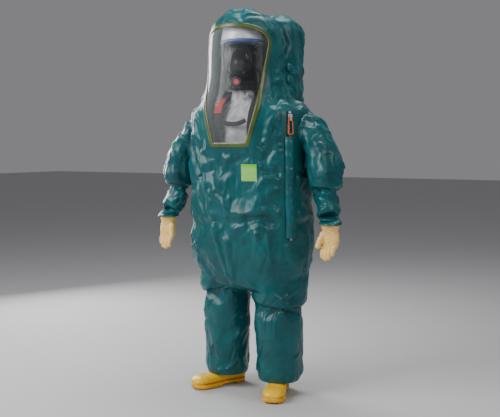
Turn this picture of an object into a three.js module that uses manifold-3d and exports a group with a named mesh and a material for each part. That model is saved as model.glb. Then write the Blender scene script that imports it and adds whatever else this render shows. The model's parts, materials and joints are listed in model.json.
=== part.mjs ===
// A fully encapsulating, gas-tight chemical protective suit, standing as it does when worn over its air set.
// Millimetres, +Z up. The wearer faces -Y, and the wearer's left is +X. The soles stand on z = 0.
import * as THREE from "three";
import { mergeVertices } from "three/addons/utils/BufferGeometryUtils.js";
import Module from "manifold-3d";

const wasm = await Module();
wasm.setup();

// ---- Driving dimensions ----
const CLOTH = 3; // laminate wall, drawn thicker than the real 0.5 mm so that each panel is a solid
const GAP = 0.4; // between pieces that touch
const SIDES = 24; // facets round a large cloth tube

const SEAT_TOP = 640; // where the seat panels meet the front and back panels
const YOKE = 1432; // where the hood meets the front and back panels
const HOOD_BACK = 34; // the seam between the hood and the hump, along Y
const HUMP_FRONT = 172; // below the yoke, the hump panel is what stands behind this

const SHOULDER = { x: 280, y: 0, z: 1262, radius: 98 }; // armhole, and the shoulder's turning axis
const ELBOW = { x: 408, y: -35, z: 964, radius: 56 };
const WRIST = { x: 450, y: -80, z: 837 };
const SLEEVE_RIM = 1014; // lower edge of the wide upper sleeve
const KNEE = { x: 147, y: 0, z: 400, radius: 113 };
const LEG_RIM = 512; // lower edge of the seat's leg openings
const HEM = 69; // lower edge of the trouser leg
const ANKLE_Y = 15;
const TOE_OUT = { left: 17, right: 28 }; // degrees

const VISOR = { axisY: -40, bottom: 1204, widest: 1660, top: 1752, sheet: 2.2, tape: 1.4 };
const HEAD = { y: -72, turn: 12 }; // the helmet and mask look a little towards the wearer's left

const ZIP = { x: 268, bottom: 765, top: 1358, tapeWidth: 11, chainWidth: 6 };
const FLAP = { bottom: 775, top: 1242, halfWidth: 25, rise: 17, sheet: 1.6 };
const VALVE_HEIGHTS = [1572, 1516, 1460]; // three exhaust valves, one above the other
const VALVE = { y: 62, radius: 23 };

// ---- Materials ----
const material = (name, color, roughness, metalness = 0) =>
  Object.assign(new THREE.MeshStandardMaterial({ color, roughness, metalness }), { name });
const laminate = material("laminate", 0x0f6b66, 0.35);
const clearSheet = material("clear_sheet", 0xdfe8e6, 0.08);
clearSheet.transparent = true;
clearSheet.opacity = 0.35;
const seamTape = material("seam_tape", 0x6f7a34, 0.45);
const latex = material("glove_latex", 0xe3c48b, 0.6);
const bootRubber = material("boot_rubber", 0xe2a915, 0.5);
const soleRubber = material("sole_rubber", 0xc98d1c, 0.7);
const orangeWebbing = material("orange_webbing", 0xe8742a, 0.7);
const zipTapeCloth = material("zip_tape_cloth", 0x16302e, 0.7);
const zipMetal = material("zip_metal", 0xb9bcc0, 0.35, 0.9);
const labelPrint = material("label_print", 0x86c832, 0.5);
const valvePlastic = material("valve_plastic", 0x16524e, 0.5);
const blackRubber = material("black_rubber", 0x1b1e21, 0.55);
const helmetWhite = material("helmet_white", 0xe9ecee, 0.3);
const trimBlue = material("trim_blue", 0x27488c, 0.4);
const linerGrey = material("liner_grey", 0x9a9a9e, 0.9);
const blackCloth = material("black_cloth", 0x17191c, 0.9);
const blackWebbing = material("black_webbing", 0x1d1f22, 0.8);
const cylinderPaint = material("cylinder_paint", 0x2e3338, 0.4, 0.3);
const brass = material("brass", 0xb08d4c, 0.35, 0.9);
const signalRed = material("signal_red", 0xc8434a, 0.5);

// ---- Solids: three.js shapes, joined and cut ----
function solidOf(geometry) {
  const bare = geometry.index ? geometry.toNonIndexed() : geometry.clone();
  bare.deleteAttribute("normal");
  bare.deleteAttribute("uv");
  const merged = mergeVertices(bare, 1e-3);
  return new wasm.Manifold(
    new wasm.Mesh({
      numProp: 3,
      vertProperties: merged.attributes.position.array,
      triVerts: new Uint32Array(merged.index.array),
    }),
  );
}

function geometryOf(solid) {
  const made = solid.getMesh();
  return new THREE.BufferGeometry()
    .setAttribute("position", new THREE.BufferAttribute(Float32Array.from(made.vertProperties), 3))
    .setIndex(new THREE.BufferAttribute(Uint32Array.from(made.triVerts), 1));
}

const joined = (...solids) => solids.reduce((all, next) => all.add(next));

function mesh(name, shape, finish) {
  const geometry = shape.isBufferGeometry ? shape : geometryOf(shape);
  geometry.deleteAttribute("normal");
  geometry.computeVertexNormals();
  const made = new THREE.Mesh(geometry, finish);
  made.name = name;
  return made;
}

// A box from its lowest to its highest corner.
function block(x0, x1, y0, y1, z0, z1) {
  const box = new THREE.BoxGeometry(x1 - x0, y1 - y0, z1 - z0);
  box.translate((x0 + x1) / 2, (y0 + y1) / 2, (z0 + z1) / 2);
  return solidOf(box);
}

// A round bar of a radius between two points along one axis.
function bar(axis, radius, from, to, [x, y, z], sides = 14) {
  const cylinder = new THREE.CylinderGeometry(radius, radius, to - from, sides);
  cylinder.translate(0, (from + to) / 2, 0);
  if (axis === "x") cylinder.rotateZ(-Math.PI / 2);
  if (axis === "z") cylinder.rotateX(Math.PI / 2);
  cylinder.translate(x, y, z);
  return solidOf(cylinder);
}

// A turned shape about Z from its half profile, a list of [radius, z] that runs round its outline.
function turned(profile, sides = 16) {
  const points = profile.map(([r, z]) => new THREE.Vector2(r, z));
  if (THREE.ShapeUtils.isClockWise(points)) points.reverse(); // so that its faces point outwards
  const lathe = new THREE.LatheGeometry(points, sides);
  lathe.rotateX(Math.PI / 2);
  return solidOf(lathe);
}

const rounded = (value, squareness) => Math.sign(value) * Math.abs(value) ** (2 / squareness);

// A solid through rings. Each ring has a centre, a half-axis across, a half-axis deep and a squareness,
// where 2 is round.
function loft(rings, sides = SIDES) {
  const last = rings.length - 1;
  const skin = new THREE.CylinderGeometry(1, 1, last, sides, last);
  const at = skin.getAttribute("position");
  for (let i = 0; i < at.count; i++) {
    const ring = rings[Math.round(at.getY(i) + last / 2)];
    const out = Math.hypot(at.getX(i), at.getZ(i));
    const turn = Math.atan2(at.getX(i), at.getZ(i));
    const across = out * rounded(Math.sin(turn), ring.squareness);
    const deep = out * rounded(Math.cos(turn), ring.squareness);
    const point = ring.centre.clone().addScaledVector(ring.across, across).addScaledVector(ring.deep, deep);
    at.setXYZ(i, point.x, point.y, point.z);
  }
  return solidOf(skin);
}

// A level ring: z, half width, half depth, centre y, squareness, centre x.
const level = (z, halfWidth, halfDepth, y = 0, squareness = 2, x = 0) => ({
  centre: new THREE.Vector3(x, y, z),
  across: new THREE.Vector3(halfWidth, 0, 0),
  deep: new THREE.Vector3(0, -halfDepth, 0),
  squareness,
});

// The same rings, smaller all round by an inset, and shorter by it at the ends that are closed.
function inset(rings, by, { bottom = true, top = true } = {}) {
  const shrunk = rings
    .filter((ring) => Math.min(ring.across.length(), ring.deep.length()) > by + 1)
    .map((ring) => ({
      ...ring,
      centre: ring.centre.clone(),
      across: ring.across.clone().setLength(ring.across.length() - by),
      deep: ring.deep.clone().setLength(ring.deep.length() - by),
    }));
  const move = (ring, next, distance) =>
    ring.centre.add(ring.centre.clone().sub(next.centre).setLength(distance));
  const reach = 2; // past an open end
  move(shrunk[0], shrunk[1], bottom ? -by : reach);
  move(shrunk.at(-1), shrunk.at(-2), top ? -by : reach);
  return shrunk;
}

// A cloth tube, open at the ends that are named.
const tube = (rings, wall, ends, sides) =>
  loft(rings, sides).subtract(loft(inset(rings, wall, ends), sides));

// A strap or hose: a section swept along a smooth line through points.
function swept(points, section, steps) {
  const path = new THREE.CatmullRomCurve3(points.map((p) => new THREE.Vector3(...p)));
  return solidOf(new THREE.ExtrudeGeometry(section, { steps, bevelEnabled: false, extrudePath: path }));
}

function roundSection(radius, sides = 10) {
  const points = Array.from({ length: sides }, (_, i) => {
    const turn = (i / sides) * 2 * Math.PI;
    return new THREE.Vector2(radius * Math.cos(turn), radius * Math.sin(turn));
  });
  return new THREE.Shape(points);
}

// ---- The body of the suit: trunk, seat, hood and hump as one skin ----
const TRUNK = [
  level(588, 250, 158, 8, 2.4),
  level(606, 282, 184, 8, 2.4),
  level(640, 296, 194, 6, 2.4),
  level(700, 304, 200, 0, 2.4),
  level(1362, 304, 200, -20, 2.4), // the same shape as the last, so that the zip lies on a straight line
  level(1384, 286, 176, -12, 2.4),
  level(1402, 250, 150, -4, 2.3),
  level(1416, 200, 120, 4, 2.2),
];
const HOOD = [
  level(1120, 240, 180, -31, 2.4),
  level(1186, 262, 196, -31, 2.4),
  level(1300, 260, 197, -34, 2.4),
  level(1366, 246, 194, -39, 2.4),
  level(1404, 222, 187, -46, 2.3),
  level(1470, 196, 178, -55, 2.1),
  level(1540, 182, 168, -65),
  level(1650, 178, 163, -70),
  level(1722, 170, 156, -74),
  level(1776, 146, 136, -78),
  level(1812, 106, 100, -80),
  level(1832, 60, 58, -82),
  level(1840, 18, 18, -82),
];
const HUMP = [
  level(862, 110, 50, 130, 3),
  level(900, 150, 84, 132, 3),
  level(980, 170, 118, 138, 3.2),
  level(1080, 175, 138, 140, 3.2),
  level(1748, 175, 138, 140, 3.2),
  level(1790, 162, 124, 138, 3),
  level(1814, 124, 94, 134, 2.6),
  level(1824, 70, 54, 130, 2.2),
];
const thigh = (side) => [
  level(LEG_RIM, 130, 134, 0, 2, side * 148),
  level(566, 134, 146, 4, 2.1, side * 147),
  level(622, 140, 164, 6, 2.2, side * 142),
  level(672, 130, 150, 6, 2.2, side * 130),
];

// The body's solid, smaller all round by an inset. Its leg openings stay open.
function body(by) {
  const closed = (rings) => (by === 0 ? rings : inset(rings, by));
  const open = (rings) => (by === 0 ? rings : inset(rings, by, { bottom: false }));
  return joined(
    loft(closed(TRUNK)),
    loft(closed(HOOD)),
    loft(closed(HUMP)),
    loft(open(thigh(1)), 18),
    loft(open(thigh(-1)), 18),
  );
}

// How far the window reaches round the hood at a height, as an angle either side of straight ahead.
function visorHalfAngle(z) {
  const { bottom, widest, top } = VISOR;
  const atBottom = 28;
  const atWidest = 61;
  if (z > widest) return atWidest * Math.sqrt(Math.max(0, 1 - ((z - widest) / (top - widest)) ** 2));
  return THREE.MathUtils.lerp(atBottom, atWidest, (z - bottom) / (widest - bottom));
}

// A wedge in front of the hood with the window's outline, grown all round by a distance.
function visorWedge(grow) {
  const around = 10;
  const levels = 13;
  const near = 40;
  const far = 330;
  const reach = 190; // about how far the window is from its axis, so that a distance gives an angle
  const slab = new THREE.BoxGeometry(1, 1, 1, around, 1, levels);
  const at = slab.getAttribute("position");
  const low = VISOR.bottom - grow;
  const high = VISOR.top + grow;
  for (let i = 0; i < at.count; i++) {
    const up = Math.sin(((at.getZ(i) + 0.5) * Math.PI) / 2); // closer levels towards the round top
    const z = low + (high - low) * up;
    const inside = VISOR.bottom + ((z - low) * (VISOR.top - VISOR.bottom)) / (high - low);
    const half = visorHalfAngle(inside) + (grow / reach) * (180 / Math.PI) * (up < 1 ? 1 : 0.2);
    const turn = THREE.MathUtils.degToRad(Math.max(half, 1.5)) * 2 * at.getX(i);
    const out = at.getY(i) > 0 ? near : far; // the slab's +Y side turns towards the hood's axis
    at.setXYZ(i, out * Math.sin(turn), VISOR.axisY - out * Math.cos(turn), z);
  }
  return solidOf(slab);
}

const FAR = 700; // past everything, for boxes that cut
const skin = body(0).subtract(body(CLOTH));
const windowHole = visorWedge(0);

const aboveYoke = (y0, y1) => block(-FAR, FAR, y0, y1, YOKE, 2000);
const humpBelowYoke = block(-190, 190, HUMP_FRONT, FAR, 850, YOKE + 1);
const trunkHalf = (y0, y1) => block(-FAR, FAR, y0, y1, SEAT_TOP, YOKE - GAP);
const seatHalf = (x0, x1) => block(x0, x1, -FAR, FAR, 400, SEAT_TOP - GAP);

// What the armholes take out of the body's side.
function armhole(side) {
  const { x, y, z, radius } = SHOULDER;
  const [from, to] = side > 0 ? [x, x + 60] : [-x - 60, -x];
  return bar("x", radius + 3, from, to, [0, y, z], 24);
}

// The place on the straight part of the trunk at a height and a distance to the wearer's left.
function trunkSurface(x, z) {
  const low = TRUNK[3];
  const high = TRUNK[4];
  const share = (z - low.centre.z) / (high.centre.z - low.centre.z);
  const centreY = THREE.MathUtils.lerp(low.centre.y, high.centre.y, share);
  const [a, b, n] = [low.across.length(), low.deep.length(), low.squareness];
  const drop = (1 - (Math.abs(x) / a) ** n) ** (1 / n);
  const slope = Math.atan2((Math.abs(x) / a) ** (n - 1) / a, drop ** (n - 1) / b);
  return { point: new THREE.Vector3(x, centreY - b * drop, z), turn: Math.sign(x) * slope };
}

// A group that lies on the trunk: its own -Y points out of the cloth there, and its Z runs up the cloth.
function onTrunk(x, low, high) {
  const start = trunkSurface(x, low);
  const end = trunkSurface(x, high).point;
  const place = new THREE.Group();
  const up = end.clone().sub(start.point).normalize();
  const out = new THREE.Vector3(Math.sin(start.turn), -Math.cos(start.turn), 0);
  const across = new THREE.Vector3().crossVectors(up, out).normalize();
  const back = new THREE.Vector3().crossVectors(up, across);
  place.quaternion.setFromRotationMatrix(new THREE.Matrix4().makeBasis(across, back, up));
  place.position.copy(start.point);
  return place;
}

// ---- The three exhaust valves on the wearer's left of the hump ----
function humpSurface(y, z) {
  const ring = HUMP[4];
  const [a, b, n] = [ring.across.length(), ring.deep.length(), ring.squareness];
  const off = Math.abs(y - ring.centre.y) / b;
  const drop = (1 - off ** n) ** (1 / n);
  const slope = Math.atan2(off ** (n - 1) / b, drop ** (n - 1) / a);
  return { point: new THREE.Vector3(a * drop, y, z), turn: slope };
}

function valvePlace(z) {
  const { point, turn } = humpSurface(VALVE.y, z);
  const place = new THREE.Group();
  place.position.copy(point);
  place.rotation.set(0, Math.PI / 2, 0); // the valve's own Z points out of the side
  place.rotation.order = "ZYX";
  place.rotation.z = -turn;
  place.updateMatrix();
  return place;
}

function valves() {
  const { radius } = VALVE;
  const group = new THREE.Group();
  VALVE_HEIGHTS.forEach((z, i) => {
    const place = valvePlace(z);
    const number = i + 1;
    const housing = turned([
      [radius, -3], [radius, 2.5], [17, 2.5], [17, -1],
      [12.5, -1], [12.5, -7], [radius - 5, -7], [radius - 5, -3],
      [radius, -3],
    ]);
    const disc = turned([[0, -0.6], [15.5, -0.6], [15.5, 0.6], [0, 0.6], [0, -0.6]], 14);
    const cap = turned([
      [20.5, 2.9], [20.5, 5], [18, 8.5], [11, 11], [0, 11.6],
      [0, 9.6], [10, 9], [16, 7], [18.6, 4.6], [18.6, 2.9],
      [20.5, 2.9],
    ]);
    const slots = joined(
      ...[0, 60, 120].map((degrees) => {
        const slot = new THREE.BoxGeometry(60, 5, 2.4);
        slot.rotateZ(THREE.MathUtils.degToRad(degrees));
        slot.translate(0, 0, 3.8);
        return solidOf(slot);
      }),
    );
    place.add(mesh(`valve_housing_${number}`, housing, valvePlastic));
    place.add(mesh(`valve_disc_${number}`, disc, blackRubber));
    place.add(mesh(`valve_cap_${number}`, cap.subtract(slots), valvePlastic));
    group.add(place);
  });
  return group;
}

// A round hole through the hump's wall for each valve.
function valveHoles() {
  return joined(
    ...VALVE_HEIGHTS.map((z) => {
      const hole = new THREE.CylinderGeometry(VALVE.radius + GAP, VALVE.radius + GAP, 40, 16);
      hole.rotateX(Math.PI / 2);
      hole.applyMatrix4(valvePlace(z).matrix);
      return solidOf(hole);
    }),
  );
}

// ---- Cloth panels and the window ----
function panels() {
  const group = new THREE.Group();
  const slit = block(-1.5, 1.5, -30, 30, 0, ZIP.top - ZIP.bottom);
  const zipPlace = onTrunk(ZIP.x, ZIP.bottom, ZIP.top);
  zipPlace.updateMatrix();
  const zipSlit = slit.transform(zipPlace.matrix.toArray());
  const hump = aboveYoke(HOOD_BACK + GAP, FAR).add(humpBelowYoke);
  const belowYoke = block(-190.4, 190.4, HUMP_FRONT - GAP, FAR, 849.6, YOKE + 1);
  const humpRoom = aboveYoke(HOOD_BACK + GAP, FAR).add(belowYoke);
  const trunk = skin.subtract(armhole(1)).subtract(armhole(-1));
  const front = trunk.intersect(trunkHalf(-FAR, 0)).subtract(windowHole).subtract(zipSlit);
  const back = trunk.intersect(trunkHalf(GAP, FAR)).subtract(humpRoom);
  group.add(mesh("hood_panel", skin.intersect(aboveYoke(-FAR, HOOD_BACK)).subtract(windowHole), laminate));
  group.add(mesh("hump_panel", skin.intersect(hump).subtract(valveHoles()), laminate));
  group.add(mesh("front_panel", front, laminate));
  group.add(mesh("back_panel", back, laminate));
  group.add(mesh("seat_left", skin.intersect(seatHalf(GAP / 2, FAR)), laminate));
  group.add(mesh("seat_right", skin.intersect(seatHalf(-FAR, -GAP / 2)), laminate));

  const sheet = body(GAP).subtract(body(GAP + VISOR.sheet));
  group.add(mesh("visor_window", sheet.intersect(visorWedge(-1)), clearSheet));
  const tape = body(-GAP - VISOR.tape).subtract(body(-GAP));
  group.add(mesh("visor_border", tape.intersect(visorWedge(13)).subtract(visorWedge(-9)), seamTape));
  return group;
}

// ---- Sleeve, cuff ring and glove of one side ----
// A sleeve ring from its inner edge to its outer edge in the XZ plane.
function rung(inner, outer, y, halfDepth) {
  const a = new THREE.Vector3(inner[0], y, inner[1]);
  const b = new THREE.Vector3(outer[0], y, outer[1]);
  return {
    centre: a.clone().add(b).multiplyScalar(0.5),
    across: b.clone().sub(a).multiplyScalar(0.5),
    deep: new THREE.Vector3(0, halfDepth, 0),
    squareness: 2,
  };
}

function arm(side) {
  const group = new THREE.Group();
  if (side === "right") group.scale.x = -1;
  const { x, y, z, radius } = SHOULDER;
  const sleeve = [
    rung([x + 1, z - radius], [x + 1, z + radius], y, radius),
    rung([x + 28, z - radius + 3], [x + 28, z + radius - 6], y, radius - 2),
    rung([318, 1152], [368, 1298], -8, 96),
    rung([319, 1130], [416, 1232], -13, 96),
    rung([320, 1108], [454, 1174], -20, 97),
    rung([323, 1078], [474, 1110], -26, 96),
    rung([332, 1044], [474, 1050], -31, 86),
    rung([341, SLEEVE_RIM], [471, SLEEVE_RIM], -34, 67),
  ];
  group.add(mesh(`upper_sleeve_${side}`, tube(sleeve, CLOTH, { bottom: false, top: false }, 16), laminate));

  const elbow = new THREE.Vector3(ELBOW.x, ELBOW.y, ELBOW.z);
  const wrist = new THREE.Vector3(WRIST.x, WRIST.y, WRIST.z);
  const down = wrist.clone().sub(elbow).normalize();
  const outwards = new THREE.Vector3(1, 0, 0).addScaledVector(down, -down.x).normalize();
  const backwards = new THREE.Vector3().crossVectors(outwards, down);
  const round = (along, r) => ({
    centre: elbow.clone().addScaledVector(down, along),
    across: outwards.clone().multiplyScalar(r),
    deep: backwards.clone().multiplyScalar(r),
    squareness: 2,
  });
  const dome = [56, 36, 14, -14].map((degrees) => {
    const turn = THREE.MathUtils.degToRad(degrees);
    return round(-ELBOW.radius * Math.sin(turn), ELBOW.radius * Math.cos(turn));
  });
  const cuff = (above, r) => ({
    centre: wrist.clone().add(new THREE.Vector3(0, 0, above)),
    across: new THREE.Vector3(r, 0, 0),
    deep: new THREE.Vector3(0, r, 0),
    squareness: 2,
  });
  const forearm = [...dome, round(34, 48), round(84, 49), round(116, 51), cuff(13, 54), cuff(7, 53)];
  const forearmTube = tube(forearm, CLOTH, { bottom: false, top: false }, 12);
  group.add(mesh(`forearm_sleeve_${side}`, forearmTube, laminate));

  const ring = turned([[37, 0], [41.5, 0], [41.5, 9], [37, 9], [37, 0]], 16);
  // The ring sits up the sleeve, clear of the glove's rim when the wrist bends.
  const ringPlace = [WRIST.x - 9.3, WRIST.y + 9.6, WRIST.z + 26];
  group.add(mesh(`cuff_ring_${side}`, ring.translate(ringPlace), valvePlastic));
  group.add(mesh(`glove_${side}`, glove().translate([WRIST.x, WRIST.y, WRIST.z]), latex));
  return group;
}

// A glove hanging down from its wrist, thumb towards the body, hollow down to the knuckles.
function glove() {
  const palm = [
    level(-98, 40, 15, -4, 2.6),
    level(-82, 45, 18, -4, 2.6),
    level(-54, 46, 22, -2, 2.5),
    level(-30, 42, 27, 0, 2.3),
    level(-8, 37, 33, 0, 2),
    level(12, 37, 35, 0, 2),
  ];
  // Each finger from its knuckle to its tip: [x, y, z] and a radius.
  const fingers = [
    { from: [-31, -4, -84], to: [-30, -20, -142], radius: 11 },
    { from: [-10, -4, -88], to: [-9, -24, -152], radius: 11.2 },
    { from: [11, -4, -86], to: [11, -23, -146], radius: 10.8 },
    { from: [31, -3, -80], to: [29, -19, -130], radius: 9.6 },
    { from: [-30, -8, -34], to: [-50, -30, -96], radius: 12.5 },
  ];
  const stalls = fingers.map(({ from, to, radius }) => {
    const [a, b] = [new THREE.Vector3(...from), new THREE.Vector3(...to)];
    const stall = new THREE.CapsuleGeometry(radius, a.distanceTo(b), 2, 6);
    const along = b.clone().sub(a).normalize();
    stall.applyQuaternion(new THREE.Quaternion().setFromUnitVectors(new THREE.Vector3(0, 1, 0), along));
    stall.translate(...a.clone().add(b).multiplyScalar(0.5));
    return solidOf(stall);
  });
  return joined(loft(palm, 12), ...stalls).subtract(loft(inset(palm, 3, { top: false }), 12));
}

// ---- Lower leg, boot and sole of one side ----
function leg(side) {
  const group = new THREE.Group();
  if (side === "right") group.scale.x = -1;
  const dome = [58, 38, 18, 0].map((degrees) => {
    const turn = THREE.MathUtils.degToRad(degrees);
    const r = KNEE.radius * Math.cos(turn);
    return level(KNEE.z + KNEE.radius * Math.sin(turn), r, r, KNEE.y, 2, KNEE.x);
  });
  const shank = [
    level(HEM, 100, 98, 4, 2.1, 147),
    level(HEM + 14, 107, 104, 4, 2.1, 147),
    level(230, 111, 109, 3, 2.1, 147),
    ...dome.reverse(),
  ];
  group.add(mesh(`lower_leg_${side}`, tube(shank, CLOTH, { bottom: false, top: false }, 16), laminate));

  const boot = new THREE.Group();
  boot.position.set(KNEE.x - 2, ANKLE_Y, 0);
  boot.rotation.z = THREE.MathUtils.degToRad(TOE_OUT[side]);
  boot.add(mesh(`boot_${side}`, bootUpper(), bootRubber));
  boot.add(mesh(`sole_${side}`, sole(), soleRubber));
  group.add(boot);
  return group;
}

const SOLE_TOP = 24;

// A rubber boot: a foot from heel to toe, and a shaft up the shin, hollow inside.
function bootUpper() {
  // Each station along the foot: y, half width, height above the sole.
  const stations = [[84, 22, 40], [72, 35, 66], [36, 40, 84], [-20, 41, 84], [-62, 44, 52], [-95, 47, 41],
    [-140, 51, 38], [-178, 47, 36], [-204, 24, 20]];
  const foot = (by) =>
    stations
      .filter(([, halfWidth]) => halfWidth > 24 || by === 0)
      .map(([y, halfWidth, height]) => ({
        centre: new THREE.Vector3(0, y, SOLE_TOP + GAP + by + (height - by * 2) / 2),
        across: new THREE.Vector3(halfWidth - by, 0, 0),
        deep: new THREE.Vector3(0, 0, -(height - by * 2) / 2),
        squareness: 2.7,
      }));
  const shaft = [
    level(SOLE_TOP + 30, 38, 50, 26, 2.2),
    level(110, 44, 52, 18, 2.1),
    level(180, 50, 56, 6, 2),
    level(330, 60, 64, 2, 2),
  ];
  const outer = loft(foot(0), 12);
  const inner = loft(foot(4), 10);
  const shaftRoom = loft(inset(shaft, 4, { bottom: false, top: false }), 12);
  return outer.add(loft(shaft, 12)).subtract(inner.add(shaftRoom));
}

// The sole's outline is a foot's: straight inside, waisted outside, with a block under the heel.
function sole() {
  const outline = new THREE.Shape();
  outline.moveTo(-36, 60);
  outline.bezierCurveTo(-38, 96, 38, 96, 36, 60);
  outline.bezierCurveTo(34, 10, 36, -40, 48, -100);
  outline.bezierCurveTo(60, -165, 44, -212, 4, -212);
  outline.bezierCurveTo(-44, -212, -58, -165, -48, -100);
  outline.bezierCurveTo(-40, -50, -36, 0, -36, 60);
  const extrusion = { depth: SOLE_TOP, bevelEnabled: false, curveSegments: 5 };
  const slab = new THREE.ExtrudeGeometry(outline, extrusion);
  return solidOf(slab).subtract(block(-90, 90, -62, 22, -1, 9));
}

// ---- Zip, slider, puller and storm flap on the wearer's left of the front ----
function zip() {
  const place = onTrunk(ZIP.x, ZIP.bottom, ZIP.top);
  const length = ZIP.top - ZIP.bottom;
  const { tapeWidth, chainWidth } = ZIP;
  const outside = -1.2; // the tapes lie this far out of the cloth
  const half = chainWidth / 2;
  const tape = (left) => block(left, left + tapeWidth, outside - 1.2, outside, 0, length);
  place.add(mesh("zip_tape_front", tape(-half - GAP - tapeWidth), zipTapeCloth));
  place.add(mesh("zip_tape_side", tape(half + GAP), zipTapeCloth));
  place.add(mesh("zip_chain", zipChain(length - 24, half).translate([0, outside, 12]), zipMetal));
  // Each stop straddles the edges of both tapes.
  const stop = (z) =>
    block(-6, 6, outside - 4, outside, z, z + 10)
      .subtract(block(-20, -half - 0.2, -2.6, 0, z - 5, z + 15))
      .subtract(block(half + 0.2, 20, -2.6, 0, z - 5, z + 15));
  place.add(mesh("zip_bottom_stop", stop(1), zipMetal));
  place.add(mesh("zip_top_stop", stop(length - 11), zipMetal));

  const sliderTop = length - 14;
  const body = block(-10, 10, -9, -2.8, sliderTop - 30, sliderTop);
  const channel = block(-half - 0.6, half + 0.6, -5.4, 0, -10, length + 10);
  const bridge = block(-2.5, 2.5, -17, -9, sliderTop - 28, sliderTop - 4);
  const eye = block(-3, 3, -14.6, -9, sliderTop - 25, sliderTop - 7);
  place.add(mesh("zip_slider", body.subtract(channel).add(bridge.subtract(eye)), zipMetal));
  place.add(mesh("zip_puller", puller().translate([0, -11.8, sliderTop - 13]), orangeWebbing));
  place.add(mesh("storm_flap", stormFlap().translate([0, 0, FLAP.bottom - ZIP.bottom]), laminate));
  return place;
}

// Meshed teeth, as one strip with a notch between each two.
function zipChain(length, half) {
  const pitch = 48;
  const comb = new THREE.Shape();
  comb.moveTo(-half, 0);
  comb.lineTo(half, 0);
  for (let z = pitch; z < length; z += pitch) {
    comb.lineTo(half, z - 3);
    comb.lineTo(half - 1.4, z);
    comb.lineTo(half, z + 3);
  }
  comb.lineTo(half, length);
  comb.lineTo(-half, length);
  const strip = new THREE.ExtrudeGeometry(comb, { depth: 3.4, bevelEnabled: false });
  strip.rotateX(Math.PI / 2);
  return solidOf(strip);
}

// A loop of webbing. Its top bar lies in the slider's bridge, and the loop hangs from there.
function puller() {
  const loop = new THREE.Shape();
  loop.moveTo(-9, 1.9);
  loop.lineTo(9, 1.9);
  loop.lineTo(11, -72);
  loop.absarc(0, -72, 11, 0, Math.PI, true);
  loop.lineTo(-9, 1.9);
  const eye = new THREE.Path();
  eye.moveTo(-5.6, -1.9);
  eye.lineTo(-6.6, -70);
  eye.absarc(0, -70, 6.6, Math.PI, 2 * Math.PI, false);
  eye.lineTo(5.6, -1.9);
  eye.lineTo(-5.6, -1.9);
  loop.holes.push(eye);
  const band = new THREE.ExtrudeGeometry(loop, { depth: 2.4, bevelEnabled: false, curveSegments: 6 });
  band.rotateX(Math.PI / 2);
  band.translate(0, 1.2, 0);
  return solidOf(band);
}

// A strip that arches over the zip, stitched along its edge nearer the middle of the chest.
function stormFlap() {
  const { halfWidth, rise, sheet, bottom, top } = FLAP;
  const radius = (halfWidth ** 2 + rise ** 2) / (2 * rise);
  const spread = Math.asin(halfWidth / radius);
  const arch = new THREE.Shape();
  arch.absarc(0, 0, radius, Math.PI / 2 - spread, Math.PI / 2 + spread, false);
  arch.absarc(0, 0, radius - sheet, Math.PI / 2 + spread, Math.PI / 2 - spread, true);
  const depth = top - bottom;
  const strip = new THREE.ExtrudeGeometry(arch, { depth, bevelEnabled: false, curveSegments: 10 });
  strip.rotateZ(Math.PI); // the arch rises towards -Y, out of the cloth
  strip.translate(0, radius - rise - 3.2, 0);
  return solidOf(strip);
}

// ---- The label on the chest ----
function label() {
  const size = 78;
  const middle = { x: 97, z: 1077 };
  const place = onTrunk(middle.x, middle.z - 50, middle.z + 50);
  const patch = block(-size / 2, size / 2, -1.8, -1, 50 - size / 2, 50 + size / 2);
  place.add(mesh("chest_label", patch, labelPrint));
  return place;
}

// ---- Helmet and mask ----
function headSet() {
  const group = new THREE.Group();
  group.position.y = HEAD.y;
  group.rotation.z = THREE.MathUtils.degToRad(HEAD.turn);
  const dome = [
    level(1690, 109, 131), level(1724, 107, 129), level(1756, 95, 115),
    level(1784, 70, 86), level(1798, 36, 44),
    level(1802, 12, 14),
  ];
  group.add(mesh("helmet_shell", tube(dome, 3, { bottom: false }, 18), helmetWhite));
  const brim = [level(1674, 114, 141, -2), level(1682, 112, 137, -1), level(1689.4, 108, 130, 0)];
  const headRoom = loft([level(1660, 97, 116), level(1700, 97, 116)], 16);
  group.add(mesh("helmet_brim", loft(brim, 18).subtract(headRoom), trimBlue));
  const curtain = [
    level(1472, 84, 86, 6), level(1560, 93, 100, 4), level(1640, 96, 108, 2), level(1672, 94, 108, 1),
  ];
  const faceHole = block(-95, 95, -200, -52, 1470, 1675);
  const skirt = tube(curtain, 2.4, { bottom: false, top: false }, 16);
  group.add(mesh("neck_curtain", skirt.subtract(faceHole), blackCloth));

  // The mask's rings run from the face forwards.
  const oval = (y, halfWidth, halfHeight, z) => ({
    centre: new THREE.Vector3(0, y, z),
    across: new THREE.Vector3(halfWidth, 0, 0),
    deep: new THREE.Vector3(0, 0, -halfHeight),
    squareness: 2.2,
  });
  const frame = [oval(-58, 76, 74, 1596), oval(-90, 74, 74, 1597), oval(-108, 67, 69, 1600)];
  group.add(mesh("mask_facepiece", flipped(frame, 3.5), blackRubber));
  const lens = [
    oval(-108.5, 66, 68, 1600), oval(-122, 58, 61, 1601), oval(-132, 42, 46, 1602), oval(-136, 18, 20, 1602),
  ];
  group.add(mesh("mask_lens", flipped(lens, 2, true), clearSheet));
  const cup = [
    oval(-64, 40, 44, 1570), oval(-92, 36, 38, 1572), oval(-108, 27, 29, 1576), oval(-118, 12, 14, 1578),
  ];
  group.add(mesh("mask_nose_cup", flipped(cup, 3, true), blackRubber));

  const valve = bar("y", 25, -136, -100, [0, 0, 1494], 16).add(bar("y", 19, -101, -78, [0, 0, 1494], 12));
  const seat = bar("y", 13.4, -150, -127.9, [0, 0, 1494], 16); // deep enough for the button's travel
  group.add(mesh("demand_valve", valve.subtract(seat), blackRubber));
  group.add(mesh("demand_button", bar("y", 13, -137, -131.4, [0, 0, 1494], 16), signalRed));
  return group;
}

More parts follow.
